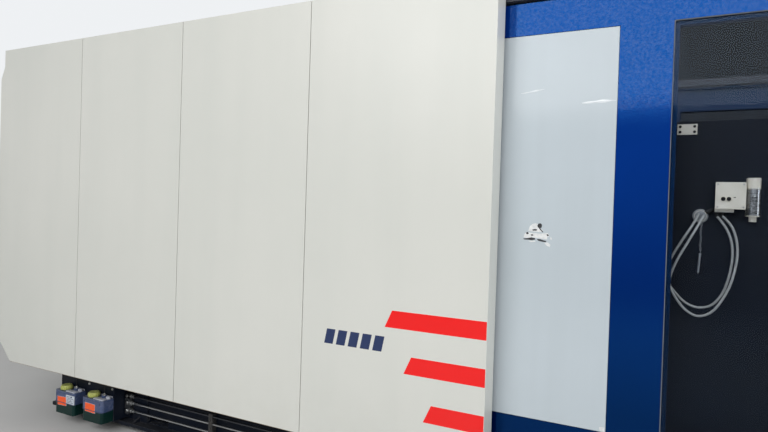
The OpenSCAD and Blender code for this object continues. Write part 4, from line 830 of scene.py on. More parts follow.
# lubrication units: labels, caps, lids and rims, measured from each unit's left side and top
lubeUnits = {
    "left": (-5.7, -5.403), "face": 1.22, "bracket": -1.13, "seamZ": 0.16, "top": 0.24,
    "labels": ((-5.665, -5.572, 0.141, 0.200, 0.05), (-5.365, -5.264, 0.148, 0.206, -0.02)), "border": 0.0015,
    "plate": (-5.575, -5.484, 0.161, 0.223), "lines": 5, "lineStep": 0.01,
    "capAt": (0.068, -1.175), "grips": 18, "gripRadius": 0.0375, "gripHalf": 0.0018,
    "cap": [(0, 0.036), (0.003, 0.038), (0.024, 0.038), (0.030, 0.034), (0.032, 0.012), (0.030, 0.008)],
    "sender": [(0, 0.016), (0.014, 0.016), (0.018, 0.012), (0.0185, 0.003)],
    "outlet": [(0, 0.0095), (0.001, 0.0105), (0.008, 0.0105), (0.009, 0.0092), (0.013, 0.0065), (0.016, 0.0045)],
    "hoseNut": [(0, 0.0072), (0.001, 0.0082), (0.005, 0.0082), (0.006, 0.006), (0.010, 0.0042)],
    "bracketX": (-5.446, -5.205), "bracketZ": (0.1, 0.3),
}


def makeLubeUnits(plan):
    orange, white, caps, lids, black, ribs, bolts = newMeshes(7)
    place, top = onWall(-1, plan["face"]), plan["top"]
    for x, (u0, u1, v0, v1, tilt) in zip(plan["left"], plan["labels"]):
        # square label, tilted a little, on a pale backing
        mid, wide, high = ((u0 + u1) / 2, (v0 + v1) / 2), (u1 - u0) / 2, (v1 - v0) / 2
        for bm, grow, low, out in ((white, plan["border"], -0.0035, 0.0005), (orange, 0.0, 0.0003, 0.001)):
            a, b = wide + grow, high + grow
            addOutline(bm, [(mid[0] + u * a - v * b * tilt, mid[1] + v * b + u * a * tilt)
                            for u, v in ((1, 1), (-1, 1), (-1, -1), (1, -1))], place, low, out)
        # filler cap with grips
        cx, cy, low = x + plan["capAt"][0], plan["capAt"][1], top + 0.003
        addLathe(caps, (cx, cy, low), upward, plan["cap"], 30)
        half = plan["gripHalf"]
        for gx, gy in circle(plan["gripRadius"], plan["grips"], (cx, cy)):
            addBlock(caps, (gx - half, gy - half, low + 0.003), (gx + half, gy + half, low + 0.023), 0.0006, 1)
        # lid plates, sender cover, the nuts on outlet and hose
        addBlock(lids, (x + 0.113, -1.216, top + 0.0002), (x + 0.207, -1.181, top + 0.009), 0.003)
        addBlock(lids, (x + 0.006, -1.134, top + 0.0002), (x + 0.206, -1.1315, top + 0.012), 0.001, 1)
        addLathe(lids, (x + 0.192, -1.157, top), upward, plan["sender"], 24)
        addLathe(bolts, (x + 0.163, -1.165, top + 0.0205), upward, plan["outlet"], 6, 0.3)
        addLathe(bolts, (x + 0.14, -1.085, 0.3445), upward, plan["hoseNut"], 6)
        # rim over the tank, screws in the face
        addFrameRing(ribs, roundedRect(x - 0.0015, x + 0.2125, -1.2215, -1.1305, 0.0212),
                     roundedRect(x + 0.005, x + 0.206, -1.215, -1.136, 0.015),
                     onTop, plan["seamZ"] - 0.003, plan["seamZ"] + 0.003, 0.0012)
        addEach(addSocketBolt, ribs, grid((x + 0.024, x + 0.187), (-plan["face"],), (top - 0.026,)), toFront, 0.0045)
    # type plate of the first unit, with blank lines
    u0, u1, v0, v1 = plan["plate"]
    addOutline(white, insetRect(plan["plate"], 0.0, 0.004), place, -0.003, 0.0004)
    for k in range(plan["lines"]):
        low = v0 + 0.009 + k * plan["lineStep"]
        line = roundedRect(u0 + 0.008, u1 - 0.012 - 0.011 * (k % 3), low, low + 0.003, 0.0012, 2)
        addOutline(black, line, place, 0.0002, 0.0008)
    addEach(addHexBolt, bolts, grid(plan["bracketX"], (plan["bracket"],), plan["bracketZ"]), toFront, 0.0075)
    for name, bm, look in (
            ("lubeLabelSquares", orange, "labelOrange"), ("lubeLabelPlates", white, "labelWhite"),
            ("lubePlateLines", black, "headDark"), ("lubeFillerCaps", caps, "capGreen"),
            ("lubeLids", lids, "lidGrey"), ("lubeRimsAndScrews", ribs, "headDark")):
        makePiece(name, bm, "machine", look)
    makePiece("lubeNuts", bolts, "machine", "boltZinc")


makeLubeUnits(lubeUnits)

# nuts and clip screws of the pipes along the bed; nuts as (shift inwards, radius, length)
bedPipes = {
    "pipeY": -1.03, "heights": (0.134, 0.190, 0.239), "ends": ((-5.131, 1), (-0.411, -1)),
    "nuts": ((0.0, 0.0155, 0.018), (0.02, 0.0125, 0.012)), "chamfer": 0.0015, "plugAt": (-5.161, -1.0455),
    "plug": [(-0.001, 0.012), (0.003, 0.012), (0.006, 0.0095), (0.0065, 0.004)],
    "clipX": (-4.4, -3.4, -2.4, -1.4), "screwZ": (0.162, 0.2145),
}


def makeBedPipeFittings(plan):
    bright, dark = newMeshes(2)
    edge = plan["chamfer"]
    for z in plan["heights"]:
        for x, inward in plan["ends"]:
            for shift, r, reach in plan["nuts"]:
                addLathe(bright, (x + shift * inward - reach / 2, plan["pipeY"], z), lengthways,
                         [(0, r * 0.86), (edge, r), (reach - edge, r), (reach, r * 0.86)], 6, 0.3)
        addLathe(bright, (*plan["plugAt"], z), toFront, plan["plug"], 6, 0.2)
    for x in plan["clipX"]:
        addBlock(dark, (x - 0.001, -1.0412, 0.117), (x + 0.031, -0.9995, 0.257), 0.002)
        addEach(addSocketBolt, dark, grid((x + 0.015,), (-1.041,), plan["screwZ"]), toFront, 0.006)
    makePiece("pipeNuts", bright, "machine", "boltZinc")
    makePiece("pipeClipScrews", dark, "machine", "boltBlack")


makeBedPipeFittings(bedPipes)
print("lubrication units and pipes detailed")

# bed plugs and jack nuts
bedFittings = {
    "plugX": (-5.55, -4.75, -3.95, -3.1, -2.3, -1.5, -0.7, 0.1), "plugY": 1.0, "plugZ": 0.42, "nutZ": 0.0222,
    "plug": [(-0.002, 0.034), (0.004, 0.034), (0.0065, 0.03), (0.0045, 0.024), (0.0044, 0.002)], "nut": 0.019,
    "nuts": ((0.85, (-5.8, -4.65, -4.0374, -2.7, -1.8, -0.4, 0.4)), (0.76, (0.85, 2.5, 4.2, 6.05))),
}


def makeBedFittings(plan):
    dark, nuts = newMeshes(2)
    for side in (-1, 1):
        addEach(addLathe, dark, grid(plan["plugX"], (side * plan["plugY"],), (plan["plugZ"],)), (0, side, 0),
                plan["plug"], 28)
        for y, xs in plan["nuts"]:
            addEach(addHexBolt, nuts, grid(xs, (side * y,), (plan["nutZ"],)), upward, plan["nut"])
    makePiece("bedPlugs", dark, "machine", "rubberBlack")
    makePiece("padJackNuts", nuts, "machine", "boltBlack")


makeBedFittings(bedFittings)

# moving platen: junction box, switch housing, round gland and its chain
junction = {
    "box": (-1.61, -1.50, 1.658, 1.77), "face": 0.995, "disc": (-1.663, 1.625), "chainLinks": 15, "beadStep": 0.0088,
    "screw": [(0, 0.0036), (0.0012, 0.0036), (0.002, 0.0026), (0.001, 0.0008)], "screwIn": 0.008,
    "socketX": (-1.582, -1.561), "socketAt": (-1.0028, 1.7),
    "socket": [(-0.001, 0.0086), (0.0006, 0.0086), (0.0012, 0.0076), (0.0013, 0.001)],
    "plateX": (-1.755, -1.698), "plateY": -0.94, "plateZ": (1.996, 2.02),
    "plateScrew": [(-0.0004, 0.0062), (0.0016, 0.0062), (0.0026, 0.005), (0.0014, 0.0024), (0.0013, 0.0006)],
    "glandX": (-1.602, -1.584), "glandAt": (-0.96, 1.6435),
    "gland": [(0, 0.0085), (0.007, 0.0085), (0.008, 0.0074), (0.018, 0.0072), (0.021, 0.0056)],
    "swivelAt": (-1.632, -0.95, 1.646), "swivelAxis": (0.9, 0, 0.42),
    "swivel": [(-0.018, 0.006), (-0.012, 0.009), (0.016, 0.009), (0.022, 0.006)],
    "capOuter": (-1.4955, -1.4445, -0.9945, -0.9252, 0.0235), "capDepths": (1.7435, 1.7465, 0.0008),
    "sleeveOuter": (-1.4957, -1.4443, -0.9947, -0.926, 0.0237), "sleeveDepths": (1.632, 1.7425, 0.0006),
    "housing": (-1.49, -1.45, -0.989, -0.93, 0.018), "capScrewAt": (-1.47, -0.9938, 1.715),
    "capScrew": [(-0.001, 0.006), (0.0012, 0.006), (0.002, 0.0045), (0.001, 0.001)],
    "discRim": [(0.0, 0.029), (0.004, 0.031), (0.012, 0.031), (0.015, 0.028), (0.0145, 0.0245)],
    "discFace": [(0.0, 0.0225), (0.0015, 0.0215), (0.0022, 0.012), (0.0012, 0.011), (0.0012, 0.001)],
    "discScrew": [(0, 0.0022), (0.0014, 0.0022), (0.002, 0.0014)], "discDepths": (-0.925, -0.9695, -0.971),
    "pin": [(0, 0.003), (0.004, 0.0055), (0.012, 0.0045), (0.082, 0.0042), (0.09, 0.001)],
}


def makeJunctionDetails(plan):
    lid, screws, dark, steel, bright, sleeve = newMeshes(6)
    x0, x1, z0, z1 = plan["box"]
    face, inside = -plan["face"], plan["screwIn"]
    addFrameRing(lid, insetRect(plan["box"], -0.0012, 0.004), insetRect(plan["box"], 0.003, 0.002),
                 onWall(-1, plan["face"]), -0.0042, 0.0014, 0.0005)
    addEach(addLathe, screws, grid((x0 + inside, x1 - inside), (face,), (z0 + inside, z1 - inside)), toFront,
            plan["screw"], 14)
    socketY, socketZ = plan["socketAt"]
    addEach(addLathe, dark, grid(plan["socketX"], (socketY,), (socketZ,)), toFront, plan["socket"], 24)
    addBlock(dark, (-1.544, face - 0.0008, 1.705), (-1.536, face + 0.0002, 1.7085), 0.0003, 1)
    addEach(addLathe, dark, grid(plan["plateX"], (plan["plateY"],), plan["plateZ"]), toFront, plan["plateScrew"], 14)
    # nuts of the hose glands, and the swivel between box and disc
    glandY, glandZ = plan["glandAt"]
    addEach(addLathe, dark, grid(plan["glandX"], (glandY,), (glandZ,)), (0, 0, -1), plan["gland"], 12)
    addLathe(dark, plan["swivelAt"], plan["swivelAxis"], plan["swivel"], 16)
    addBlock(bright, (x0 - 0.001, -0.977, 1.6435), (-1.539, -0.9385, 1.6465), 0.0008, 1)
    # switch housing's cap with its joint and screw, and the sleeve below
    housing = roundedRect(*plan["housing"])
    addFrameRing(bright, roundedRect(*plan["capOuter"]), housing, onTop, *plan["capDepths"])
    addFrameRing(sleeve, roundedRect(*plan["sleeveOuter"]), housing, onTop, *plan["sleeveDepths"])
    addLathe(bright, plan["capScrewAt"], toFront, plan["capScrew"], 14)
    # round gland's cover with rim and screws
    discX, discZ = plan["disc"]
    rimY, faceY, screwY = plan["discDepths"]
    addLathe(steel, (discX, rimY, discZ), toFront, plan["discRim"], 36)
    addLathe(steel, (discX, faceY, discZ), toFront, plan["discFace"], 30)
    addEach(addLathe, screws, [(x, screwY, z) for x, z in circle(0.0175, 6, plan["disc"], 0.3)], toFront,
            plan["discScrew"], 10)
    # bead chain with its pin
    chainX, chainY, top = discX + 0.004, -0.962, discZ - 0.03
    for k in range(plan["chainLinks"]):
        at = Vector((chainX + 0.0015 * math.sin(k), chainY, top - plan["beadStep"] * k))
        spread = (0.0034, 0) if k % 2 else (0, 0.0034)
        addTube(steel, closed([at + Vector((spread[0] * u, spread[1] * u, 0.0062 * v)) for u, v in circle(1.0, 12)]),
                0.0012, 6)
    addLathe(steel, (chainX, chainY, top - plan["beadStep"] * plan["chainLinks"]), (-0.06, 0, -1), plan["pin"], 12)
    for name, bm, look, slotName in (
            ("junctionBoxLid", lid, "junctionGrey", "junction_grey"),
            ("junctionScrews", screws, "boltZinc", "plated_steel"),
            ("junctionSockets", dark, "rubberBlack", "handle_black"),
            ("junctionDiscAndChain", steel, "dullAluminium", "plated_steel"),
            ("junctionBrightParts", bright, "boltZinc", "plated_steel")):
        makePiece(name, bm, "moving_platen", look)
    makePiece("switchSleeve", sleeve, "moving_platen", "groundSteel", 60)


makeJunctionDetails(junction)
print("moving platen detailed")

# tie bar nuts and the toggle's pins
clampBolts = {
    "nutX": 0.3597, "endX": 0.49, "barY": 0.63, "barZ": (0.73, 1.87), "boltRing": 0.1412, "boltCount": 12,
    "cap": [(-0.001, 0.088), (0.002, 0.088), (0.006, 0.082), (0.007, 0.03), (0.003, 0.026), (0.0029, 0.002)],
    "pinOut": 0.4730, "boltSpread": 0.034, "axisZ": 1.3,
    "rearPins": ((-3.8974, 0.25), (-2.9487, 0.2997)), "frontPins": ((-2.0, 0.25),),
    "plate": [(0, 0.047), (0.005, 0.05), (0.009, 0.047), (0.0095, 0.012)],
    "nipple": [(0, 0.006), (0.006, 0.006), (0.007, 0.0035), (0.012, 0.0042), (0.0155, 0.003), (0.016, 0.001)],
}


def makeClampBolts(plan):
    heads, caps = newMeshes(2)
    for _, y, z in grid((0,), (-plan["barY"], plan["barY"]), plan["barZ"]):
        ring = circle(plan["boltRing"], plan["boltCount"], (y, z), math.pi / plan["boltCount"])
        addEach(addSocketBolt, heads, [(plan["nutX"], u, v) for u, v in ring], lengthways, 0.0072)
        addLathe(caps, (plan["endX"], y, z), lengthways, plan["cap"], 36)
    makePiece("barNutBolts", heads, "machine", "boltBlack")
    makePiece("barEndCaps", caps, "machine", "groundSteel")
    # end plates and oil nipples on the toggle pins
    for body, pins, up in (("upper_rear_link", "rearPins", 1), ("lower_rear_link", "rearPins", -1),
                           ("upper_front_link", "frontPins", 1), ("lower_front_link", "frontPins", -1)):
        bm = bmesh.new()
        for x, rise in plan[pins]:
            z = plan["axisZ"] + up * rise
            for side in (-1, 1):
                face, out = side * plan["pinOut"], (0, side, 0)
                addLathe(bm, (x, face, z), out, plan["plate"], 30)
                ring = circle(plan["boltSpread"], 4, (x, z), math.pi / 4)
                addEach(addHexBolt, bm, [(u, face + side * 0.0092, v) for u, v in ring], out, 0.0062)
                addLathe(bm, (x, face + side * 0.009, z), out, plan["nipple"], 12)
        makePiece("pinPlates_" + body, bm, body, "boltZinc")


makeClampBolts(clampBolts)

# motors of the pumps
motors = {
    "ys": (-0.64, -0.24), "z": 0.4, "radius": 0.145, "ends": (4.15, 4.7), "fins": 40, "fin": 0.014,
    "bare": ((1.2, 1.95), (4.1, 5.3)), "collar": [(0, 0.15), (0.003, 0.157), (0.021, 0.157), (0.024, 0.15)],
    "lidX": (4.315, 4.485), "glandX": (4.35, 4.43),
    "gland": [(0, 0.018), (0.008, 0.018), (0.009, 0.015), (0.024, 0.015), (0.028, 0.011)],
    "cowlX": 4.781, "cowlRings": (0.03, 0.052, 0.074, 0.096), "cowlBars": (0.012, 0.06, 0.11),
    "hub": [(0, 0.018), (0.004, 0.018), (0.006, 0.013)], "flangeX": 4.1495, "flangeRing": 0.1275,
}


def makeMotorDetails(plan):
    fins, boxes, grille = newMeshes(3)
    left, right = plan["ends"]
    high = plan["fin"]
    section = [(-0.0026, 0), (-0.0016, high), (0.0016, high), (0.0026, 0)]
    for y in plan["ys"]:
        axle = (y, plan["z"])
        for k in range(plan["fins"]):
            a = 2 * math.pi * k / plan["fins"]
            if any(low < a < top for low, top in plan["bare"]):
                continue
            out = Vector((0, math.cos(a), math.sin(a)))
            side = Vector((0, -math.sin(a), math.cos(a)))
            base = Vector((0, *axle)) + out * (plan["radius"] - 0.001)
            addOutline(fins, section, lambda u, v, d: Vector((d, 0, 0)) + base + side * u + out * v,
                       left + 0.03, right - 0.05)
        addEach(addLathe, boxes, grid((left, right - 0.042), axle[:1], axle[1:]), lengthways, plan["collar"], 44)
        # terminal box lid and glands
        addBlock(boxes, (4.296, y - 0.094, 0.634), (4.504, y + 0.094, 0.652), 0.006)
        addEach(addHexBolt, boxes, grid(plan["lidX"], (y - 0.075, y + 0.075), (0.652,)), upward, 0.006)
        addEach(addLathe, boxes, grid(plan["glandX"], (y - 0.09,), (0.59,)), toFront, plan["gland"], 12)
        # fan cowl with its grille bars
        for r in plan["cowlRings"]:
            addTube(grille, [(plan["cowlX"], u, v) for u, v in closed(circle(r, 40, axle))], 0.0024, 6)
        for u, v in circle(1.0, 8):
            addTube(grille, [(plan["cowlX"] + 0.0005, y + r * u, plan["z"] + r * v) for r in plan["cowlBars"]],
                    0.0022, 6)
        addLathe(grille, (plan["cowlX"] - 0.002, *axle), lengthways, plan["hub"], 20)
        ring = circle(plan["flangeRing"], 8, axle, math.pi / 8)
        addEach(addHexBolt, grille, [(plan["flangeX"], u, v) for u, v in ring], (-1, 0, 0), 0.009)
    makePiece("motorFins", fins, "machine", "motorPaint")
    makePiece("motorBoxes", boxes, "machine", "motorPaint")
    makePiece("motorGrilles", grille, "machine", "boltBlack")


makeMotorDetails(motors)

# valves, and the collars of the pumps
valves = {
    "ys": (-0.72, -0.56, -0.4, -0.24), "capX": (3.452, 3.568), "coils": ((3.585, 3.655), (3.385, 3.432)),
    "plug": [(0, 0.013), (0.01, 0.013), (0.013, 0.009)], "portX": 3.4, "portStep": 0.05, "ports": 6,
    "portY": -0.8, "portZ": (0.2, 0.38),
    "port": [(0, 0.015), (0.004, 0.015), (0.006, 0.012), (0.0035, 0.007), (0.0034, 0.001)],
    "pumpY": (-0.64, -0.24), "pumpZ": 0.4, "flangeX": 4.1505, "flangeRing": 0.092, "collarX": (3.87, 3.72),
    "collar": [(0, 0.058), (0.004, 0.066), (0.02, 0.066), (0.024, 0.058)], "unionX": 3.94, "unionZ": 0.56,
    "union": [(0, 0.03), (0.004, 0.037), (0.028, 0.037), (0.032, 0.03)],
}


def makeValveDetails(plan):
    bolts, coils, collars = newMeshes(3)
    for y in plan["ys"]:
        addEach(addSocketBolt, bolts, grid(plan["capX"], (y + 0.012, y + 0.078), (0.59,)), upward, 0.006)
        for x0, x1 in plan["coils"]:
            mid = (x0 + x1) / 2
            addBlock(coils, (x0, y + 0.013, 0.523), (x1, y + 0.077, 0.587), 0.006)
            addBlock(coils, (mid - 0.014, y + 0.03, 0.585), (mid + 0.014, y + 0.06, 0.617), 0.004)
        addLathe(bolts, (3.67, y + 0.045, 0.555), lengthways, plan["plug"], 6)
    for k in range(plan["ports"]):
        spots = grid((plan["portX"] + plan["portStep"] * k,), (plan["portY"],), plan["portZ"])
        addEach(addLathe, bolts, spots, toFront, plan["port"], 6 if k % 2 else 18)
    for y in plan["pumpY"]:
        spots = [(plan["flangeX"], u, v) for u, v in circle(plan["flangeRing"], 6, (y, plan["pumpZ"]))]
        addEach(addHexBolt, bolts, spots, (-1, 0, 0), 0.0085)
        addEach(addLathe, collars, grid(plan["collarX"], (y,), (plan["pumpZ"],)), lengthways, plan["collar"], 28)
        addLathe(collars, (plan["unionX"], y, plan["unionZ"]), upward, plan["union"], 6)
    makePiece("valveBolts", bolts, "machine", "boltBlack")
    makePiece("valveCoils", coils, "machine", "rubberBlack")
    makePiece("pumpCollars", collars, "machine", "groundSteel")


makeValveDetails(valves)

# handles and rims of the tank hatches, level gauge and filler cap
tankFittings = {
    "coverX": (1.29, 2.46), "z": 0.48, "face": 0.912, "gripApart": 0.07, "rim": (0.233, 0.225),
    "grip": ((0.0, -0.045), (0.03, -0.045), (0.036, 0.0), (0.03, 0.045), (0.0, 0.045)),
    "gaugeX": (1.8, 1.85), "gaugeZ": (0.42, 0.76), "gaugeFace": 0.925, "marks": 9, "markStep": 0.027,
    "capAt": (1.0, -0.78), "cap": [(-0.02, 0.061), (-0.002, 0.063), (0.004, 0.058), (0.006, 0.02)],
    "capRibs": 16, "capRibZ": (1.046, 1.056, 1.068),
}


def makeTankFittings(plan):
    handles, lens, cap = newMeshes(3)
    place = onWall(-1, plan["face"])
    for x in plan["coverX"]:
        for s in (-plan["gripApart"], plan["gripApart"]):
            addTube(handles, smoothPath([place(x + s, plan["z"] + rise, out) for out, rise in plan["grip"]], 6), 0.006)
        outer, inner = (circle(r, 72, (x, plan["z"])) for r in plan["rim"])
        addFrameRing(handles, outer, inner, place, -0.001, 0.0025, 0.001)
    (u0, u1), (z0, z1), place = plan["gaugeX"], plan["gaugeZ"], onWall(-1, plan["gaugeFace"])
    addOutline(lens, roundedRect(u0 + 0.012, u1 - 0.012, z0 + 0.045, z1 - 0.045, 0.012), place, -0.004, 0.003)
    spots = grid(((u0 + u1) / 2,), (-plan["gaugeFace"],), (z0 + 0.022, z1 - 0.022))
    addEach(addHexBolt, handles, spots, toFront, 0.011)
    for k in range(plan["marks"]):
        low = z0 + 0.06 + k * plan["markStep"]
        mark = roundedRect(u1 - 0.011, u1 - 0.004 - 0.002 * (k % 2), low, low + 0.0025, 0.0008, 2)
        addOutline(handles, mark, place, -0.0002, 0.0006)
    addLathe(cap, (*plan["capAt"], 1.07), upward, plan["cap"], 32)
    for x, y in circle(0.0615, plan["capRibs"], plan["capAt"]):
        addTube(cap, [(x, y, z) for z in plan["capRibZ"]], 0.0035, 6)
    makePiece("tankHandles", handles, "machine", "boltZinc")
    makePiece("tankLevelGlass", lens, "machine", "gaugeGlass")
    makePiece("tankFillerCap", cap, "machine", "rubberBlack")


makeTankFittings(tankFittings)
print("hydraulics detailed")

# clamps and terminals of the heater bands
bands = {
    "first": 0.57, "step": 0.28, "count": 8, "width": 0.24, "clampIn": 0.012, "radius": 0.158, "z": 1.3,
    "screw": [(0, 0.0045), (0.006, 0.0045), (0.007, 0.0028), (0.038, 0.0028), (0.039, 0.0045), (0.044, 0.0045)],
    "terminal": [(0, 0.009), (0.006, 0.009), (0.008, 0.007), (0.02, 0.007), (0.023, 0.005)], "terminalY": 0.02,
}


def makeBandDetails(plan):
    clamps, ceramic = newMeshes(2)
    outer, inner = circle(plan["radius"] + 0.0022, 48), circle(plan["radius"] - 0.0015, 48)
    low = plan["z"] - plan["radius"]
    for i in range(plan["count"]):
        x0 = plan["first"] + i * plan["step"]
        for x in (x0 + plan["clampIn"], x0 + plan["width"] - plan["clampIn"]):
            addFrameRing(clamps, outer, inner, lambda u, v, d, at=x: Vector((at + d, u, plan["z"] + v)),
                         -0.006, 0.006, 0.001)
            for y in (-0.012, 0.012):
                addBlock(clamps, (x - 0.006, y - 0.002, low - 0.022), (x + 0.006, y + 0.002, low + 0.002), 0.001, 1)
            addLathe(clamps, (x, -0.022, low - 0.014), toRear, plan["screw"], 8)
        spots = grid((x0 + plan["width"] / 2,), (-plan["terminalY"], plan["terminalY"]), (plan["z"] + 0.191,))
        addEach(addLathe, ceramic, spots, upward, plan["terminal"], 14)
    makePiece("bandClamps", clamps, "carriage", "boltZinc")
    makePiece("bandTerminals", ceramic, "carriage", "labelWhite")


makeBandDetails(bands)

# sight glass and beads of the hopper
hopperFittings = {
    "x": 3.1, "radius": 0.45, "pane": (-0.11, 0.11, 2.55, 2.95), "rim": 0.022, "boltIn": (0.011, 0.04), "bolts": 5,
    "beadRadius": 0.452, "beadZ": (3.13, 2.42),
}


def makeHopperFittings(plan):
    rim, pane, bolts = newMeshes(3)
    u0, u1, z0, z1 = plan["pane"]

    def around(u, v, d):
        turn, reach = u / plan["radius"], plan["radius"] + d
        return Vector((plan["x"] + reach * math.sin(turn), -reach * math.cos(turn), v))

    addFrameRing(rim, insetRect(plan["pane"], 0.0, 0.04, 6), insetRect(plan["pane"], plan["rim"], 0.025, 6),
                 around, -0.004, 0.007, 0.0015)
    addOutline(pane, insetRect(plan["pane"], plan["rim"] - 0.001, 0.025, 6), around, 0.0006, 0.003)
    sideIn, endIn = plan["boltIn"]
    for u in (u0 + sideIn, u1 - sideIn):
        for k in range(plan["bolts"]):
            z = z0 + endIn + k * (z1 - z0 - 2 * endIn) / (plan["bolts"] - 1)
            addHexBolt(bolts, around(u, z, 0.0065), around(u, z, 1.0) - around(u, z, 0.0), 0.0055)
    for z in plan["beadZ"]:
        ring = closed(circle(plan["beadRadius"], 96, (plan["x"], 0.0)))
        addTube(rim, [(x, y, z) for x, y in ring], 0.005, 8)
    makePiece("hopperGlassRim", rim, "carriage", "hopperSteel")
    makePiece("hopperSightGlass", pane, "carriage", "darkGlazing")
    makePiece("hopperBolts", bolts, "carriage", "boltZinc")


makeHopperFittings(hopperFittings)
print("injection unit detailed")

# operator panel: keys, bezels and the collar of the stop button
keypad = {
    "face": 1.288, "firstKey": (0.002, 1.375), "rows": 4, "columns": 9, "pitch": (0.027, 0.03105), "key": 0.0095,
    "bezels": (((-0.028, 0.368, 1.192, 1.708), (0.02, 0.016), 0.0025),
               ((-0.006, 0.346, 1.414, 1.686), (0.01, 0.006), 0.003)),
    "bezelWidth": 0.006, "screwX": (-0.034, 0.374), "screwZ": (1.19, 1.71), "stopAt": (0.3, 1.24),
    "collar": (0.034, 0.0165),
}


def makeKeypad(plan):
    keys, frames, collar = newMeshes(3)
    place, k = onWall(-1, plan["face"]), plan["key"]
    for r in range(plan["rows"]):
        for c in range(plan["columns"]):
            x, z = plan["firstKey"][0] + c * plan["pitch"][0], plan["firstKey"][1] - r * plan["pitch"][1]
            addOutline(keys, roundedRect(x - k, x + k, z - k, z + k, 0.003, 3), place, -0.001, 0.0022)
    for box, (outerRound, innerRound), high in plan["bezels"]:
        addFrameRing(frames, insetRect(box, 0.0, outerRound), insetRect(box, plan["bezelWidth"], innerRound),
                     place, -0.001, high, 0.001)
    addEach(addSocketBolt, frames, grid(plan["screwX"], (-plan["face"],), plan["screwZ"]), toFront, 0.0042)
    outer, inner = (circle(r, 40, plan["stopAt"]) for r in plan["collar"])
    addFrameRing(collar, outer, inner, place, -0.0005, 0.0006, 0.0002)
    makePiece("panelKeys", keys, "hmi", "keyGrey")
    makePiece("panelBezel", frames, "hmi", "handleBlack")
    makePiece("stopCollar", collar, "hmi", "collarYellow")


makeKeypad(keypad)

# seam and lock of the cabinet's door
cabinet = {
    "box": (4.1, 5.2, 0.104, 2.046), "face": 1.272, "lockAt": (5.14, 1.2995, 1.125),
    "lock": [(-0.004, 0.013), (-0.0005, 0.013), (0.0, 0.011), (-0.003, 0.007), (-0.0031, 0.001)],
    "lockPlate": (5.1165, 5.1635, 0.985, 1.175, 0.014),
}


def makeCabinetFittings(plan):
    lock, seal = newMeshes(2)
    left, right, low, high = plan["box"]
    place = onWall(1, plan["face"])
    addFrameRing(seal, roundedRect(left + 0.006, right - 0.006, low + 0.003, high - 0.003, 0.006),
                 roundedRect(left + 0.012, right - 0.012, low + 0.009, high - 0.009, 0.004),
                 place, -0.001, 0.0012, 0.0005)
    addLathe(lock, plan["lockAt"], toRear, plan["lock"], 24)
    addOutline(lock, roundedRect(*plan["lockPlate"]), place, -0.001, 0.004)
    makePiece("cabinetSeam", seal, "cabinet_door", "cabinetPaint")
    makePiece("cabinetLock", lock, "cabinet_door", "handleBlack")


makeCabinetFittings(cabinet)

# panes, seals and grips of the guards
guards = {
    "face": 0.88, "paneX": ((3.65, 4.27), (4.5, 5.12), (5.35, 5.97)), "paneZ": (1.18, 1.54), "lap": 0.012,
    "paneDepths": (-0.0085, -0.0045), "sealDepths": (-0.0005, 0.0028, 0.001), "gripZ": 1.08,
    "grip": ((-0.07, 0.0), (-0.07, 0.028), (-0.055, 0.04), (0.055, 0.04), (0.07, 0.028), (0.07, 0.0)),
    "purgeFace": 0.475, "purgeBox": (0.408, 0.992, 1.108, 1.652),
}


def makeGuardPanes(plan):
    panes, seals, grips, purge = newMeshes(4)
    for side in (-1, 1):
        place = onWall(side, plan["face"])
        for pane in plan["paneX"]:
            box = pane + plan["paneZ"]
            outer = insetRect(box, -plan["lap"], 0.01)
            addOutline(panes, outer, place, *plan["paneDepths"])
            addFrameRing(seals, outer, insetRect(box, 0.004, 0.014), place, *plan["sealDepths"])
            mid = sum(pane) / 2
            addTube(grips, smoothPath([place(mid + u, plan["gripZ"], d) for u, d in plan["grip"]], 6), 0.006)
        place = onWall(side, plan["purgeFace"])
        outer = insetRect(plan["purgeBox"], 0.0, 0.012)
        addFrameRing(purge, outer, insetRect(plan["purgeBox"], 0.016, 0.014), place, *plan["sealDepths"])
        addOutline(panes, outer, place, *plan["paneDepths"])
    makePiece("guardPanes", panes, "machine", "tintedGlazing")
    makePiece("guardPaneSeals", seals, "machine", "rubberBlack")
    makePiece("guardGrips", grips, "machine", "handleBlack")
    makePiece("purgeGuardSeals", purge, "purge_guard", "rubberBlack")


makeGuardPanes(guards)
print("guards and panels detailed")

# floor, backdrop and lamps
stage = {
    "floor": (0.70, 0.695, 0.68), "second": (0.64, 0.63, 0.62), "rough": 0.75, "floorZ": -0.001, "half": 60.0,
    "world": (0.86, 0.88, 0.90), "worldLight": 0.38, "throughGlass": 0.06,
}


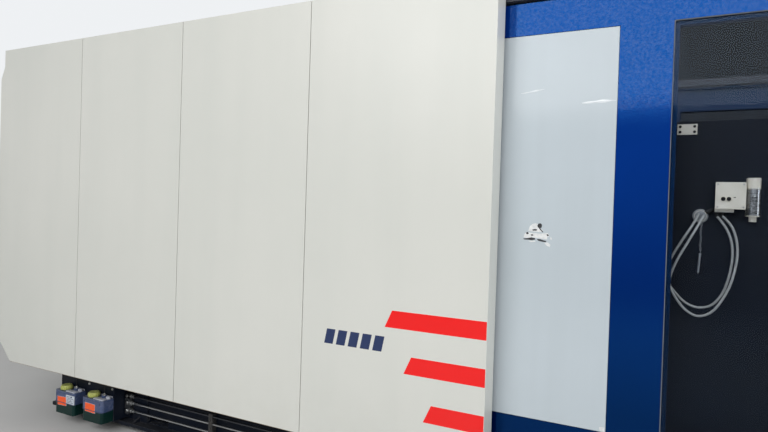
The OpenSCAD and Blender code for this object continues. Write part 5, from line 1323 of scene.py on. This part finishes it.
def makeStage(plan):
    mat, tree, shader, where = newMaterial("stageFloor")
    colour = mottled(tree, where, plan["floor"], plan["second"], 0.8, 0.6)["Colour"]
    fillInputs(tree, shader, {"Base Color": colour, "Roughness": plan["rough"]})
    mesh = bpy.data.meshes.new("stageFloor")
    h, z = plan["half"], plan["floorZ"]
    mesh.from_pydata([(-h, -h, z), (h, -h, z), (h, h, z), (-h, h, z)], [], [(0, 1, 2, 3)])
    mesh.materials.append(mat)
    floor = bpy.data.objects.new("stageFloor", mesh)
    bpy.context.scene.collection.objects.link(floor)
    world = bpy.data.worlds.new("studio")
    world.use_nodes = True
    bpy.context.scene.world = world
    tree = world.node_tree
    path = tree.nodes.new("ShaderNodeLightPath").outputs
    plain = rangeNode(tree, path["Is Camera Ray"], 0.0, 1.0, plan["worldLight"], 1.0)
    through = rangeNode(tree, path["Is Transmission Ray"], 0.0, 1.0, 1.0, plan["throughGlass"])
    fillInputs(tree, tree.nodes["Background"], {
        "Strength": product(tree, plain, through), "Color": rgba(plan["world"])})


makeStage(stage)

lamps = {
    "frontBank": {"at": (-2.6, -8.0, 5.15), "aim": (-2.6, -1.0, 1.0), "size": (9.5, 4.0), "watts": 415.0},
    "sideFill": {"at": (12.0, -4.4, 2.6), "aim": (-2.5, -1.3, 1.5), "size": (6.0, 5.0), "watts": 540.0},
    "overhead": {"at": (-1.5, 0.4, 6.2), "aim": (-1.5, 0.0, 0.0), "size": (9.0, 3.0), "watts": 165.0},
    "backFill": {"at": (4.8, 8.0, 4.4), "aim": (-0.8, 0.0, 1.0), "size": (6.0, 3.0), "watts": 210.0},
}


def makeLamps(plan):
    for name, lamp in plan.items():
        data = bpy.data.lights.new(name, "AREA")
        data.shape = "RECTANGLE"
        data.size, data.size_y = lamp["size"]
        data.energy = lamp["watts"]
        obj = bpy.data.objects.new(name, data)
        bpy.context.scene.collection.objects.link(obj)
        obj.location = lamp["at"]
        obj.rotation_euler = (Vector(lamp["aim"]) - Vector(lamp["at"])).to_track_quat("-Z", "Y").to_euler()


makeLamps(lamps)
bpy.context.scene.view_settings.view_transform = "Standard"
print("stage and lamps set")
